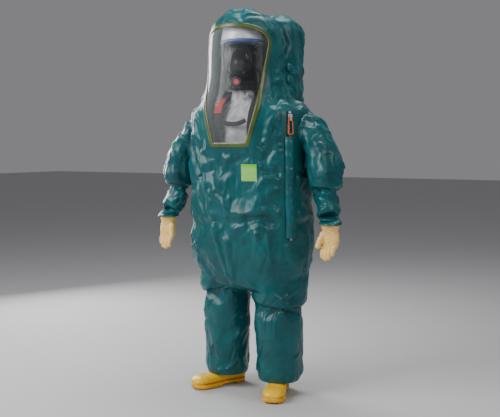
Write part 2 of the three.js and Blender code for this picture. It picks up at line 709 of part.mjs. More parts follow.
// A shell through rings that run towards -Y, open behind, and closed in front if asked.
function flipped(rings, wall, closedFront = false) {
  return tube(rings, wall, { bottom: false, top: closedFront }, 14);
}

// ---- Air set and grey liner inside the suit ----
function airSet() {
  const group = new THREE.Group();
  const plate = block(-120, 120, 126, 136, 1040, 1490).subtract(block(-60, 60, 100, 160, 1150, 1400));
  group.add(mesh("back_plate", plate, blackRubber));
  const bottle = turned([
    [0, 1552], [30, 1546], [54, 1528], [64, 1500], [64, 1120], [56, 1094], [34, 1078], [14, 1072],
    [14, 1064], [9, 1064], [9, 1080], [30, 1086], [50, 1100], [59, 1124], [59, 1498], [50, 1524],
    [28, 1540], [0, 1546], [0, 1552],
  ], 16);
  group.add(mesh("air_cylinder", bottle.translate([0, 208, 0]), cylinderPaint));
  const valve = bar("z", 17, 1012, 1063, [0, 208, 0], 20).add(bar("x", 10, -34, 30, [0, 208, 1030], 16));
  group.add(mesh("cylinder_valve", valve, brass));
  const knob = bar("x", 21, 31, 49, [0, 208, 1030], 16).subtract(bar("x", 5, 30, 36, [0, 208, 1030], 12));
  group.add(mesh("valve_knob", knob, signalRed));

  const band = (x, y) => {
    const corners = [[-x, -y], [x, -y], [x, y], [-x, y]].map(([u, v]) => new THREE.Vector2(u / 2, v / 2));
    return new THREE.Shape(corners);
  };
  for (const [side, sign] of [["left", 1], ["right", -1]]) {
    const over = [
      [88, 116, 1430], [90, 66, 1452], [92, -30, 1454], [92, -122, 1420],
      [92, -176, 1330], [92, -184, 1220], [94, -180, 1110],
    ].map(([x, y, z]) => [sign * x, y, z]);
    group.add(mesh(`shoulder_strap_${side}`, swept(over, band(40, 4), 20), blackWebbing));
  }
  const sag = [[-66, -184, 1318], [-35, -189, 1305], [0, -190, 1301], [35, -189, 1305], [66, -184, 1318]];
  group.add(mesh("chest_strap", swept(sag, band(3, 22), 12), blackWebbing));
  return group;
}

function liner() {
  const vest = [
    level(980, 200, 132, -12, 2.2), level(1250, 205, 140, -24, 2.2), level(1330, 196, 128, -24, 2.2),
    level(1388, 150, 96, -26, 2.1), level(1412, 90, 72, -40, 2), level(1440, 64, 64, -54, 2),
  ];
  return mesh("liner_vest", tube(vest, 3, { bottom: false, top: false }, 18), linerGrey);
}

// ---- Assembly ----
const suit = new THREE.Group();
suit.add(panels(), valves(), zip(), label());
for (const side of ["left", "right"]) suit.add(arm(side), leg(side));
suit.add(headSet(), airSet(), liner());

// The origin is on the floor, under the middle of the suit's box.
suit.updateMatrixWorld(true);
const box = new THREE.Box3().setFromObject(suit);
const middle = box.getCenter(new THREE.Vector3());
suit.position.set(-middle.x, -middle.y, -box.min.z);

export default suit;
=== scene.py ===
"""Visual model of a fully encapsulating chemical protective suit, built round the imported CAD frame.

Sizes are in metres, +Z is up, the wearer faces -Y and the wearer's left is +X.
"""

import json
import math

import bmesh
import bpy
import numpy as np
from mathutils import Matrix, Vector
from mathutils.bvhtree import BVHTree


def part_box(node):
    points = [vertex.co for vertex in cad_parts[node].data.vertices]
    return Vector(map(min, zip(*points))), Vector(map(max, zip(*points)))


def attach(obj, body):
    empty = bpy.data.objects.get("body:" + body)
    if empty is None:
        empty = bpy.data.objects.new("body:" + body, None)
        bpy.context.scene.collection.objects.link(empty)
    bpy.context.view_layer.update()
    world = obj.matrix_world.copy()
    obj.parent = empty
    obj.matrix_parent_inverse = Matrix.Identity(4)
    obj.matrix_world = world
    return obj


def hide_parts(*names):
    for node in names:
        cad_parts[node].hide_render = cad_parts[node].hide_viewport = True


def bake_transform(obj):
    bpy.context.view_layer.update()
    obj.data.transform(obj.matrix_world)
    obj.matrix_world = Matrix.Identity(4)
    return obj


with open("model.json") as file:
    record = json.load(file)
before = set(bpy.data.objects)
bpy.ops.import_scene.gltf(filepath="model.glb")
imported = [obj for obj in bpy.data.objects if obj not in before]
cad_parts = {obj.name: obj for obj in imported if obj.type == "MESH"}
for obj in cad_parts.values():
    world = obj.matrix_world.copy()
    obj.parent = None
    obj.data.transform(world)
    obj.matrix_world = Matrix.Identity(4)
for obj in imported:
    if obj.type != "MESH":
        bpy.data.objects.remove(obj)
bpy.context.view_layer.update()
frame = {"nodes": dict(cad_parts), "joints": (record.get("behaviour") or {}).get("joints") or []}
JOINTS = {j["name"]: j for j in frame["joints"]}
MIDDLE_Y = JOINTS["shoulder_left"]["pos_m"][1]  # the shoulders' axis, which the cutting plan is measured from
SEED = 11

SIDES = (("left", 1), ("right", -1))  # the wearer's, with the sign of x there

# ---- Sizes of the cloth, in metres ----
WALL = 0.0012
CELL = 0.0115  # spacing of the body's mesh before it is subdivided once
SLEEVE_CELL = 0.0085

# ---- Heights over the floor, and distances behind the shoulders' axis ----
HEM = 0.069
CUFF = 0.8455
LEG_CUT = {"left": 0.449, "right": 0.497}  # each just above the lip that the thigh cloth makes
YOKE = 1.432  # the seam below the hood
SEAT_TOP = 0.846  # the crease across the waist
HUMP_BOTTOM = 0.86
HUMP_FRONT, HOOD_BACK = 0.172, 0.034  # behind the axis
BELL_RIM = 1.014
SLEEVE_CUT = 1.019  # between the upper sleeve and the forearm's
ARMHOLE_MIDDLE, ARMHOLE_RADIUS = 1.262, 0.1


def place(x, y, z):
    """A point of the cutting plan, in millimetres, as a place in the frame."""
    return Vector((x / 1000, y / 1000 + MIDDLE_Y, z / 1000))


# ---- Rings that the cloth is cut to ----
def level(z, half_width, half_depth, y=0, squareness=2.0, x=0):
    """A level ring, from an oval at a squareness of 2 to nearly a box."""
    return (place(x, y, z), Vector((half_width, 0, 0)) / 1000, Vector((0, half_depth, 0)) / 1000, squareness)


def rung(inner, outer, y, half_depth):
    """A ring across a sleeve, from its inner edge to its outer edge, each (x, z)."""
    a, b = place(inner[0], y, inner[1]), place(outer[0], y, outer[1])
    return ((a + b) / 2, (b - a) / 2, Vector((0, half_depth, 0)) / 1000, 2.0)


TRUNK = [
    level(494, 208, 92, 8, 2.6), level(506, 242, 124, 8, 2.6), level(534, 264, 150, 8, 2.5),
    level(600, 284, 178, 8, 2.4), level(650, 295, 192, 6, 2.4), level(710, 303, 200, 0, 2.4),
    level(1362, 304, 200, -20, 2.4), level(1384, 286, 176, -12, 2.4), level(1402, 250, 150, -4, 2.3),
    level(1416, 200, 120, 4, 2.2),
]
HOOD = [
    level(1120, 240, 180, -31, 2.4), level(1186, 262, 196, -31, 2.4), level(1300, 260, 197, -34, 2.4),
    level(1366, 246, 194, -39, 2.4), level(1404, 222, 187, -46, 2.3), level(1470, 196, 178, -55, 2.1),
    level(1540, 182, 168, -65), level(1650, 178, 163, -70), level(1722, 170, 156, -74),
    level(1776, 146, 136, -78), level(1812, 106, 100, -80), level(1832, 60, 58, -82),
    level(1840, 18, 18, -82),
]
HUMP = [
    level(862, 110, 50, 130, 3), level(900, 150, 84, 132, 3), level(980, 170, 118, 138, 3.2),
    level(1080, 175, 138, 140, 3.2), level(1748, 175, 138, 140, 3.2), level(1790, 162, 124, 138, 3),
    level(1814, 124, 94, 134, 2.6), level(1824, 70, 54, 130, 2.2),
]


def leg_rings(side):
    """One trouser leg, from the hem up into the seat."""
    x = side * 147
    lip = 440 if side > 0 else 488
    return [
        level(48, 97, 95, 4, 2.1, x), level(69, 98, 96, 4, 2.1, x), level(83, 107, 104, 4, 2.1, x),
        level(230, 111, 109, 3, 2.1, x), level(360, 112, 111, 0, 2, x), level(lip - 12, 111, 111, 0, 2, x),
        level(lip, 116, 117, 0, 2, x), level(lip + 14, 127, 131, 0, 2, x), level(lip + 40, 130, 136, 2, 2, x),
        level(566, 132, 144, 4, 2.1, x),
        level(622, 134, 150, 6, 2.2, side * 142), level(672, 130, 150, 6, 2.2, side * 130),
    ]


def sleeve_rings():
    """The wearer's left upper sleeve, from the armhole to the rim of its bell."""
    x, y, z, r = 280, 0, 1262, 98
    return [
        rung((x - 22, z - r), (x - 22, z + r), y, r), rung((x + 1, z - r), (x + 1, z + r), y, r),
        rung((x + 28, z - r + 3), (x + 28, z + r - 6), y, r - 2), rung((318, 1152), (368, 1298), -8, 96),
        rung((319, 1130), (416, 1232), -13, 96), rung((320, 1108), (454, 1174), -20, 97),
        rung((323, 1078), (474, 1110), -26, 96), rung((332, 1044), (474, 1050), -31, 88),
        rung((338, 1014), (473, 1014), -34, 72),
    ]


def forearm_rings():
    """The wearer's left forearm sleeve, from inside the bell to the cuff."""
    elbow, wrist = Vector((408, -35, 964)), Vector((450, -80, 837))
    down = (wrist - elbow).normalized()
    out = (Vector((1, 0, 0)) - down * down.x).normalized()
    deep = out.cross(down)
    rings = [level(1046, 50, 50, -33, 2, 406), level(1000, 54, 54, -34, 2, 407)]
    for along, r in ((0, 55), (34, 51), (84, 51)):
        c = elbow + down * along
        rings.append((place(*c), out * (r / 1000), -deep * (r / 1000), 2.0))
    for above, r in ((18, 54), (6, 53), (-14, 53)):
        rings.append(level(wrist.z + above, r, r, wrist.y, 2, wrist.x))
    return rings


# ---- Mesh helpers ----
def object_from(name, vertices, faces):
    """A new object in the scene, with its place in its mesh."""
    data = bpy.data.meshes.new(name)
    data.from_pydata([tuple(v) for v in vertices], [], [tuple(f) for f in faces])
    data.update()
    obj = bpy.data.objects.new(name, data)
    bpy.context.scene.collection.objects.link(obj)
    return obj


def rounded(value, squareness):
    return math.copysign(abs(value) ** (2 / squareness), value)


def loft(rings, sides=72, steps=4):
    """Vertices and faces of a closed solid through rings."""
    dense = []
    for (c0, a0, d0, n0), (c1, a1, d1, n1) in zip(rings, rings[1:]):
        for k in range(steps):
            t = k / steps
            dense.append((c0.lerp(c1, t), a0.lerp(a1, t), d0.lerp(d1, t), n0 + (n1 - n0) * t))
    dense.append(rings[-1])
    vertices, faces = [], []
    for centre, across, deep, n in dense:
        for s in range(sides):
            turn = 2 * math.pi * s / sides
            vertices.append(centre + across * rounded(math.cos(turn), n) + deep * rounded(math.sin(turn), n))
    for r in range(len(dense) - 1):
        for s in range(sides):
            a, b = r * sides + s, r * sides + (s + 1) % sides
            faces.append((a, b, b + sides, a + sides))
    faces.append(tuple(range(sides))[::-1])
    faces.append(tuple(range((len(dense) - 1) * sides, len(dense) * sides)))
    return vertices, faces


def joined(name, solids):
    vertices, faces = [], []
    for v, f in solids:
        start = len(vertices)
        vertices += v
        faces += [tuple(i + start for i in face) for face in f]
    obj = object_from(name, vertices, faces)
    tidy_normals(obj)
    return obj


def tidy_normals(obj):
    """Merges doubles and turns the faces outwards."""
    mesh = bmesh.new()
    mesh.from_mesh(obj.data)
    bmesh.ops.remove_doubles(mesh, verts=mesh.verts, dist=1e-6)
    bmesh.ops.recalc_face_normals(mesh, faces=mesh.faces)
    mesh.to_mesh(obj.data)
    mesh.free()
    return obj


def apply_modifiers(obj):
    """The object's mesh as its modifiers make it, with the modifiers removed."""
    bpy.context.view_layer.update()
    graph = bpy.context.evaluated_depsgraph_get()
    made = bpy.data.meshes.new_from_object(obj.evaluated_get(graph), depsgraph=graph)
    obj.modifiers.clear()
    old = obj.data
    obj.data = made
    if old.users == 0:
        bpy.data.meshes.remove(old)
    return obj


def evened(obj, rounds):
    """The object's mesh, smoothed, with any modifier before applied too."""
    m = obj.modifiers.new("even", "SMOOTH")
    m.factor = 0.5
    m.iterations = rounds
    return apply_modifiers(obj)


def remeshed(obj, voxel, smoothing):
    """One even skin round everything in the object."""
    m = obj.modifiers.new("one skin", "REMESH")
    m.mode = "VOXEL"
    m.voxel_size = voxel
    return evened(obj, smoothing)


def subdivided(obj):
    m = obj.modifiers.new("finer", "SUBSURF")
    m.levels = m.render_levels = 1
    return apply_modifiers(obj)


def solidified(obj, thickness):
    """Gives a sheet its wall, inwards."""
    m = obj.modifiers.new("wall", "SOLIDIFY")
    m.thickness = thickness
    m.offset = -1
    return sharp_edged(apply_modifiers(obj))


def sharp_edged(obj, over=55):
    """Marks edges that turn by more than an angle as sharp, so a cut edge doesn't shade the next face."""
    ends = np.empty(len(obj.data.loops), np.int64)
    obj.data.loops.foreach_get("edge_index", ends)
    sizes = np.empty(len(obj.data.polygons), np.int64)
    obj.data.polygons.foreach_get("loop_total", sizes)
    normals = np.empty(len(obj.data.polygons) * 3)
    obj.data.polygons.foreach_get("normal", normals)
    of_loop = normals.reshape(-1, 3)[np.repeat(np.arange(len(sizes)), sizes)]
    total = np.zeros((len(obj.data.edges), 3))
    np.add.at(total, ends, of_loop)
    met = np.bincount(ends, minlength=len(total))
    turn = np.linalg.norm(total, axis=1) < 2 * math.cos(math.radians(over / 2))
    if "sharp_edge" not in obj.data.attributes:
        obj.data.attributes.new("sharp_edge", "BOOLEAN", "EDGE")
    obj.data.attributes["sharp_edge"].data.foreach_set("value", turn & (met == 2))
    return obj


def trimmed(obj, height):
    """Cuts off everything below a height, with a clean edge."""
    mesh = bmesh.new()
    mesh.from_mesh(obj.data)
    bmesh.ops.bisect_plane(mesh, geom=mesh.verts[:] + mesh.edges[:] + mesh.faces[:], dist=1e-6,
                           plane_co=(0, 0, height), plane_no=(0, 0, -1), clear_outer=True)
    mesh.to_mesh(obj.data)
    mesh.free()
    return obj


def points_of(obj):
    co = np.empty(len(obj.data.vertices) * 3, np.float64)
    obj.data.vertices.foreach_get("co", co)
    return co.reshape(-1, 3)


def normals_of(obj):
    no = np.empty(len(obj.data.vertices) * 3, np.float64)
    obj.data.vertices.foreach_get("normal", no)
    return no.reshape(-1, 3)


def set_points(obj, co):
    obj.data.vertices.foreach_set("co", np.asarray(co, np.float32).ravel())
    obj.data.update()


def smooth_shaded(obj):
    obj.data.polygons.foreach_set("use_smooth", [True] * len(obj.data.polygons))
    return obj


def face_centres(obj):
    c = np.empty(len(obj.data.polygons) * 3, np.float64)
    obj.data.polygons.foreach_get("center", c)
    return c.reshape(-1, 3)


def part_of(obj, name, keep):
    """A new object from the faces where keep is true."""
    copy = bpy.data.objects.new(name, obj.data.copy())
    copy.data.name = name
    bpy.context.scene.collection.objects.link(copy)
    mesh = bmesh.new()
    mesh.from_mesh(copy.data)
    mesh.faces.ensure_lookup_table()
    gone = [f for f, k in zip(mesh.faces, keep) if not k]
    bmesh.ops.delete(mesh, geom=gone, context="FACES")
    mesh.to_mesh(copy.data)
    mesh.free()
    return copy


def grid_faces(across, up):
    """Faces between the points of a grid, row by row."""
    n = across + 1
    return [(j * n + i, j * n + i + 1, (j + 1) * n + i + 1, (j + 1) * n + i)
            for j in range(up) for i in range(across)]


def smoothstep(low, high, value):
    t = np.clip((value - low) / (high - low), 0, 1)
    return t * t * (3 - 2 * t)


def bump_at(value, centre, width):
    return np.exp(-((value - centre) / width) ** 2)


# ---- The window's outline, as an angle either side of straight ahead at each height ----
WINDOW = {"axis_y": -40, "bottom": 1204, "widest": 1660, "top": 1752, "at_bottom": 28, "at_widest": 61}
WINDOW_REACH = 0.19  # the window's usual distance from the axis
WINDOW_AXIS_Y = WINDOW["axis_y"] / 1000 + MIDDLE_Y
WINDOW_BOTTOM, WINDOW_TOP = WINDOW["bottom"] / 1000, WINDOW["top"] / 1000


def window_half_angle(z):
    """Half the window's width in radians, at heights in metres."""
    z = np.asarray(z) * 1000
    w = WINDOW
    low = w["at_bottom"] + (w["at_widest"] - w["at_bottom"]) * np.clip(
        (z - w["bottom"]) / (w["widest"] - w["bottom"]), 0, 1)
    rise = np.clip((z - w["widest"]) / (w["top"] - w["widest"]), 0, 1)
    return np.radians(np.where(z > w["widest"], w["at_widest"] * np.sqrt(1 - rise ** 2.6), low))


def window_margin(co):
    """About how far each point is outside the window's outline, in metres, negative inside."""
    x, y, z = co.T
    angle = np.abs(np.arctan2(x, -(y - WINDOW_AXIS_Y)))
    sideways = (angle - window_half_angle(z)) * WINDOW_REACH
    upward = z - WINDOW_TOP
    downward = WINDOW_BOTTOM - z
    return np.maximum(np.maximum(sideways, upward), downward)


# ---- Folds ----
def add_folds(obj, rng, where, count, along, spread, length, width, height):
    """Raises or sinks random straight folds where the mask is over a half. Each size is (least, most)."""
    co, no = points_of(obj), normals_of(obj)
    chosen = np.flatnonzero(where > 0.5)
    if not len(chosen):
        return
    lift = np.zeros(len(co))
    for _ in range(count):
        i = rng.choice(chosen)
        n = no[i]
        base = np.asarray(along, float)
        base = base - n * (base @ n)
        if np.linalg.norm(base) < 1e-3:
            continue
        base /= np.linalg.norm(base)
        side = np.cross(n, base)
        turn = rng.normal(0, spread)
        line = base * math.cos(turn) + side * math.sin(turn)
        half = rng.uniform(*length) / 2
        w = rng.uniform(*width)
        h = rng.uniform(*height) * rng.choice([1.0, 1.0, -1.0])
        off = co - co[i]
        s = off @ line
        near = np.abs(s) < half * 1.3
        off, s = off[near], s[near]
        rest = off - s[:, None] * line
        far = np.linalg.norm(rest, axis=1)
        taper = np.clip(1 - (s / (half * 1.3)) ** 2, 0, 1)
        shape = np.clip(1 - far / (w * (0.35 + 0.65 * taper)), 0, None)
        facing = np.clip(no[near] @ n, 0, 1)
        lift[near] += h * shape * taper * facing
    set_points(obj, co + no * (lift * where)[:, None])


def crumpled(obj, rng, where, scales):
    """Adds flat facets with creases between them: each scale is (size, height)."""
    co, no = points_of(obj), normals_of(obj)
    lift = np.zeros(len(co))
    for size, height in scales:
        fold = np.zeros(len(co))
        for _ in range(5):
            d = rng.normal(size=3)
            d /= np.linalg.norm(d)
            bend = rng.normal(size=3)
            wave = 0.35 * np.sin(co @ bend / np.linalg.norm(bend) / size * 1.1 + rng.uniform(0, 6))
            t = (co @ d) / size + rng.uniform(0, 10) + wave
            fold += np.abs((t % 1) - 0.5) * 2 - 0.5
        lift += height * fold / 2.2
    set_points(obj, co + no * (lift * where)[:, None])


def averaged(obj, values, rounds):
    """Values spread over the mesh, each round half a step towards the neighbours' mean."""
    ends = np.empty(len(obj.data.edges) * 2, np.int64)
    obj.data.edges.foreach_get("vertices", ends)
    a, b = ends.reshape(-1, 2).T
    n = len(values)
    count = np.maximum(np.bincount(a, minlength=n) + np.bincount(b, minlength=n), 1)
    out = values.copy()
    for _ in range(rounds):
        near = np.bincount(a, out[b], n) + np.bincount(b, out[a], n)
        out = (out + near / count) / 2
    return out


def slow_waves(co, rng, shortest, longest, upright, count=14):
    """A smooth random height between about -1 and 1, in waves whose crests run mostly up and down."""
    height = np.zeros(len(co))
    for _ in range(count):
        d = rng.normal(size=3) * (1, 1, upright)
        d /= np.linalg.norm(d)
        height += np.sin(co @ d * (2 * math.pi / rng.uniform(shortest, longest)) + rng.uniform(0, 6.3))
    return height / math.sqrt(count / 2)


def slackened(obj, hold, growth, cap, start, waves, keep=0.25, upright=0.6, pressure=0.8, frames=18):
    """Lets the cloth grow between the places that hold it, so that it buckles.

    growth is the cloth solver's shrink factor, negative where the cloth gets longer. cap is the furthest
    that a point may move, start the height of the first waves, waves their (least, most) length, and keep
    the share of the swelling that stays.
    """
    rng = np.random.default_rng(SEED)
    before, outwards = points_of(obj), normals_of(obj)
    push = slow_waves(before, rng, *waves, upright) * start + rng.normal(0, 0.0004, len(before))
    set_points(obj, before + outwards * (push * (1 - hold))[:, None])
    group = obj.vertex_groups.new(name="held")
    for i in np.flatnonzero(hold > 0.02):
        group.add([int(i)], float(min(1, hold[i])), "REPLACE")
    cloth = obj.modifiers.new("slack", "CLOTH")
    s = cloth.settings
    s.quality = 4
    s.mass = 0.25
    s.tension_stiffness = 30
    s.compression_stiffness = 30
    s.shear_stiffness = 12
    s.bending_stiffness = 3
    s.air_damping = 2
    s.shrink_min = growth
    s.use_pressure = True
    s.uniform_pressure_force = pressure
    s.vertex_group_mass = "held"
    s.pin_stiffness = 4
    s.effector_weights.gravity = 0
    cloth.collision_settings.use_collision = False
    cloth.point_cache.frame_start, cloth.point_cache.frame_end = 1, frames
    scene = bpy.context.scene
    for f in range(1, frames + 1):
        scene.frame_set(f)
    apply_modifiers(obj)
    scene.frame_set(1)
    move = points_of(obj) - before
    swelling = averaged(obj, (move * outwards).sum(1), 60)
    move -= outwards * (swelling * (1 - keep))[:, None]
    far = np.linalg.norm(move, axis=1)
    move *= (np.minimum(far, cap) / np.maximum(far, 1e-9))[:, None]
    set_points(obj, before + move)
    obj.vertex_groups.clear()
    return obj


# ---- Materials ----
def new_material(name):
    """An empty node tree, and its nodes and links."""
    material = bpy.data.materials.new(name)
    material.use_nodes = True
    material.node_tree.nodes.clear()
    return material, material.node_tree.nodes, material.node_tree.links


def framed(nodes, title, members):
    """Groups nodes under a titled frame."""
    box = nodes.new("NodeFrame")
    box.label = title
    for node in members:
        node.parent = box


def laid_out(rows):
    """Sets the nodes in columns, left to right."""
    for column, members in enumerate(rows):
        for row, node in enumerate(members):
            node.location = (column * 220 - 1500, -row * 260)


def laminate_material(name, base, dark, roughness=0.27):
    """Coated laminate: glossy, a little mottled, with fine hard creases and a faint weave under the film."""
    material, nodes, links = new_material(name)
    out = nodes.new("ShaderNodeOutputMaterial")
    out.label = "laminate"
    film = nodes.new("ShaderNodeBsdfPrincipled")
    film.label = "glossy film over cloth"
    film.inputs["Roughness"].default_value = roughness
    film.inputs["Specular IOR Level"].default_value = 0.34
    film.inputs["Coat Weight"].default_value = 0.1
    film.inputs["Coat Roughness"].default_value = 0.26
    where = nodes.new("ShaderNodeTexCoord")
    where.label = "place on the suit"

    patches = nodes.new("ShaderNodeTexNoise")
    patches.label = "uneven dye and handling"
    patches.inputs["Scale"].default_value = 7
    patches.inputs["Detail"].default_value = 5
    tint = nodes.new("ShaderNodeValToRGB")
    tint.label = "deep to bright teal"
    tint.color_ramp.elements[0].position, tint.color_ramp.elements[1].position = 0.3, 0.72
    tint.color_ramp.elements[0].color, tint.color_ramp.elements[1].color = (*dark, 1), (*base, 1)

    stretch = nodes.new("ShaderNodeMapping")
    stretch.label = "folds run up and down"
    stretch.inputs["Rotation"].default_value = (0.25, 0.45, 0)
    stretch.inputs["Scale"].default_value = (1, 1, 0.24)
    folds = nodes.new("ShaderNodeTexNoise")
    folds.label = "long soft folds"
    folds.inputs["Scale"].default_value = 7.5
    folds.inputs["Detail"].default_value = 1.5
    folds.inputs["Distortion"].default_value = 0.7
    folds_middle = nodes.new("ShaderNodeMath")
    folds_middle.operation = "SUBTRACT"
    folds_middle.label = "about the middle"
    folds_middle.inputs[1].default_value = 0.5
    folds_ridge = nodes.new("ShaderNodeMath")
    folds_ridge.operation = "ABSOLUTE"
    folds_ridge.label = "one hard ridge each"
    crumple = nodes.new("ShaderNodeTexNoise")
    crumple.label = "hand-sized crumples"
    crumple.inputs["Scale"].default_value = 14
    crumple.inputs["Detail"].default_value = 2
    crumple.inputs["Distortion"].default_value = 0.5
    crumple_middle = nodes.new("ShaderNodeMath")
    crumple_middle.operation = "SUBTRACT"
    crumple_middle.label = "about the middle"
    crumple_middle.inputs[1].default_value = 0.5
    crumple_ridge = nodes.new("ShaderNodeMath")
    crumple_ridge.operation = "ABSOLUTE"
    crumple_ridge.label = "one hard ridge each"
    calm = nodes.new("ShaderNodeMapRange")
    calm.label = "calm and crumpled places"
    calm.inputs["From Min"].default_value, calm.inputs["From Max"].default_value = 0.38, 0.6
    calm.inputs["To Min"].default_value = 0.15
    amount = nodes.new("ShaderNodeMath")
    amount.operation = "MULTIPLY"
    amount.label = "crumples where it isn't calm"
    lines = nodes.new("ShaderNodeTexVoronoi")
    lines.feature = "DISTANCE_TO_EDGE"
    lines.label = "sharp crease lines"
    lines.inputs["Scale"].default_value = 13
    crease = nodes.new("ShaderNodeMapRange")
    crease.label = "only close to the line"
    crease.inputs["From Max"].default_value = 0.04
    weave = nodes.new("ShaderNodeTexWave")
    weave.label = "woven core showing through"
    weave.inputs["Scale"].default_value = 380
    broad = nodes.new("ShaderNodeBump")
    broad.label = "long folds"
    broad.inputs["Strength"].default_value = 0.5
    broad.inputs["Distance"].default_value = 0.045
    small = nodes.new("ShaderNodeBump")
    small.label = "crumples"
    small.inputs["Strength"].default_value = 0.3
    small.inputs["Distance"].default_value = 0.016
    hard = nodes.new("ShaderNodeBump")
    hard.label = "crease lines"
    hard.inputs["Strength"].default_value = 0.18
    hard.inputs["Distance"].default_value = 0.001
    grain = nodes.new("ShaderNodeBump")
    grain.label = "weave"
    grain.inputs["Strength"].default_value = 0.05
    grain.inputs["Distance"].default_value = 0.0004

    wear = nodes.new("ShaderNodeTexNoise")
    wear.label = "smears and dull patches"
    wear.inputs["Scale"].default_value = 24
    wear.inputs["Detail"].default_value = 6
    gloss = nodes.new("ShaderNodeMapRange")
    gloss.label = "roughness of film"
    gloss.inputs["To Min"].default_value = roughness - 0.06
    gloss.inputs["To Max"].default_value = roughness + 0.14

    links.new(where.outputs["Object"], patches.inputs["Vector"])
    links.new(patches.outputs["Fac"], tint.inputs["Fac"])
    links.new(tint.outputs["Color"], film.inputs["Base Color"])
    links.new(where.outputs["Object"], stretch.inputs["Vector"])
    links.new(stretch.outputs["Vector"], folds.inputs["Vector"])
    links.new(folds.outputs["Fac"], folds_middle.inputs[0])
    links.new(folds_middle.outputs["Value"], folds_ridge.inputs[0])
    links.new(folds_ridge.outputs["Value"], broad.inputs["Height"])
    links.new(stretch.outputs["Vector"], crumple.inputs["Vector"])
    links.new(crumple.outputs["Fac"], crumple_middle.inputs[0])
    links.new(crumple_middle.outputs["Value"], crumple_ridge.inputs[0])
    links.new(patches.outputs["Fac"], calm.inputs["Value"])
    links.new(crumple_ridge.outputs["Value"], amount.inputs[0])
    links.new(calm.outputs["Result"], amount.inputs[1])
    links.new(amount.outputs["Value"], small.inputs["Height"])
    links.new(stretch.outputs["Vector"], lines.inputs["Vector"])
    links.new(lines.outputs["Distance"], crease.inputs["Value"])
    links.new(crease.outputs["Result"], hard.inputs["Height"])
    links.new(where.outputs["Object"], weave.inputs["Vector"])
    links.new(weave.outputs["Fac"], grain.inputs["Height"])
    links.new(broad.outputs["Normal"], small.inputs["Normal"])
    links.new(small.outputs["Normal"], hard.inputs["Normal"])
    links.new(hard.outputs["Normal"], grain.inputs["Normal"])
    links.new(grain.outputs["Normal"], film.inputs["Normal"])
    links.new(where.outputs["Object"], wear.inputs["Vector"])
    links.new(wear.outputs["Fac"], gloss.inputs["Value"])
    links.new(gloss.outputs["Result"], film.inputs["Roughness"])
    links.new(film.outputs["BSDF"], out.inputs["Surface"])
    framed(nodes, "colour", [patches, tint])
    framed(nodes, "long folds", [stretch, folds, folds_middle, folds_ridge, broad])
    framed(nodes, "crumples", [crumple, crumple_middle, crumple_ridge, calm, amount, small])
    framed(nodes, "crease lines and weave", [lines, crease, weave, hard, grain])
    framed(nodes, "gloss", [wear, gloss])
    laid_out([
        [where], [patches, stretch, crumple, wear], [tint, folds, crumple_middle, gloss],
        [folds_middle, crumple_ridge, calm, lines], [folds_ridge, amount, crease, weave],
        [broad], [small], [hard], [grain], [film], [out],
    ])
    return material


def moulded_material(name, base, roughness=0.4, speckle=0.12, bump=0.15, scale=160, coat=0.0, metallic=0.0):
    """Moulded plastic, rubber or metal: fine skin texture, slight colour drift, scuffed gloss."""
    material, nodes, links = new_material(name)
    out = nodes.new("ShaderNodeOutputMaterial")
    out.label = "surface"
    skin = nodes.new("ShaderNodeBsdfPrincipled")
    skin.label = "moulded skin"
    skin.inputs["Metallic"].default_value = metallic
    skin.inputs["Coat Weight"].default_value = coat
    skin.inputs["Coat Roughness"].default_value = 0.08
    where = nodes.new("ShaderNodeTexCoord")
    where.label = "place on the piece"
    drift = nodes.new("ShaderNodeTexNoise")
    drift.label = "slow colour drift"
    drift.inputs["Scale"].default_value = 14
    drift.inputs["Detail"].default_value = 4
    tint = nodes.new("ShaderNodeValToRGB")
    tint.label = "dark to light"
    tint.color_ramp.elements[0].color = (*[c * (1 - speckle * 1.6) for c in base], 1)
    tint.color_ramp.elements[1].color = (*[min(1, c * (1 + speckle)) for c in base], 1)
    tint.color_ramp.elements[0].position, tint.color_ramp.elements[1].position = 0.3, 0.7
    grain = nodes.new("ShaderNodeTexNoise")
    grain.label = "mould texture"
    grain.inputs["Scale"].default_value = scale
    grain.inputs["Detail"].default_value = 3
    relief = nodes.new("ShaderNodeBump")
    relief.label = "skin relief"
    relief.inputs["Strength"].default_value = bump
    relief.inputs["Distance"].default_value = 0.0015
    scuff = nodes.new("ShaderNodeTexNoise")
    scuff.label = "scuffs"
    scuff.inputs["Scale"].default_value = 46
    scuff.inputs["Detail"].default_value = 7
    scuff.inputs["Roughness"].default_value = 0.7
    gloss = nodes.new("ShaderNodeMapRange")
    gloss.label = "roughness"
    gloss.inputs["From Min"].default_value, gloss.inputs["From Max"].default_value = 0.35, 0.65
    gloss.inputs["To Min"].default_value = max(0.03, roughness - 0.06)
    gloss.inputs["To Max"].default_value = roughness + 0.09
    links.new(where.outputs["Object"], drift.inputs["Vector"])
    links.new(where.outputs["Object"], grain.inputs["Vector"])
    links.new(where.outputs["Object"], scuff.inputs["Vector"])
    links.new(drift.outputs["Fac"], tint.inputs["Fac"])
    links.new(tint.outputs["Color"], skin.inputs["Base Color"])
    links.new(grain.outputs["Fac"], relief.inputs["Height"])
    links.new(relief.outputs["Normal"], skin.inputs["Normal"])
    links.new(scuff.outputs["Fac"], gloss.inputs["Value"])
    links.new(gloss.outputs["Result"], skin.inputs["Roughness"])
    links.new(skin.outputs["BSDF"], out.inputs["Surface"])
    framed(nodes, "colour", [drift, tint])
    framed(nodes, "relief", [grain, relief])
    framed(nodes, "gloss", [scuff, gloss])
    laid_out([[where], [drift, grain, scuff], [tint, relief, gloss], [skin], [out]])
    return material


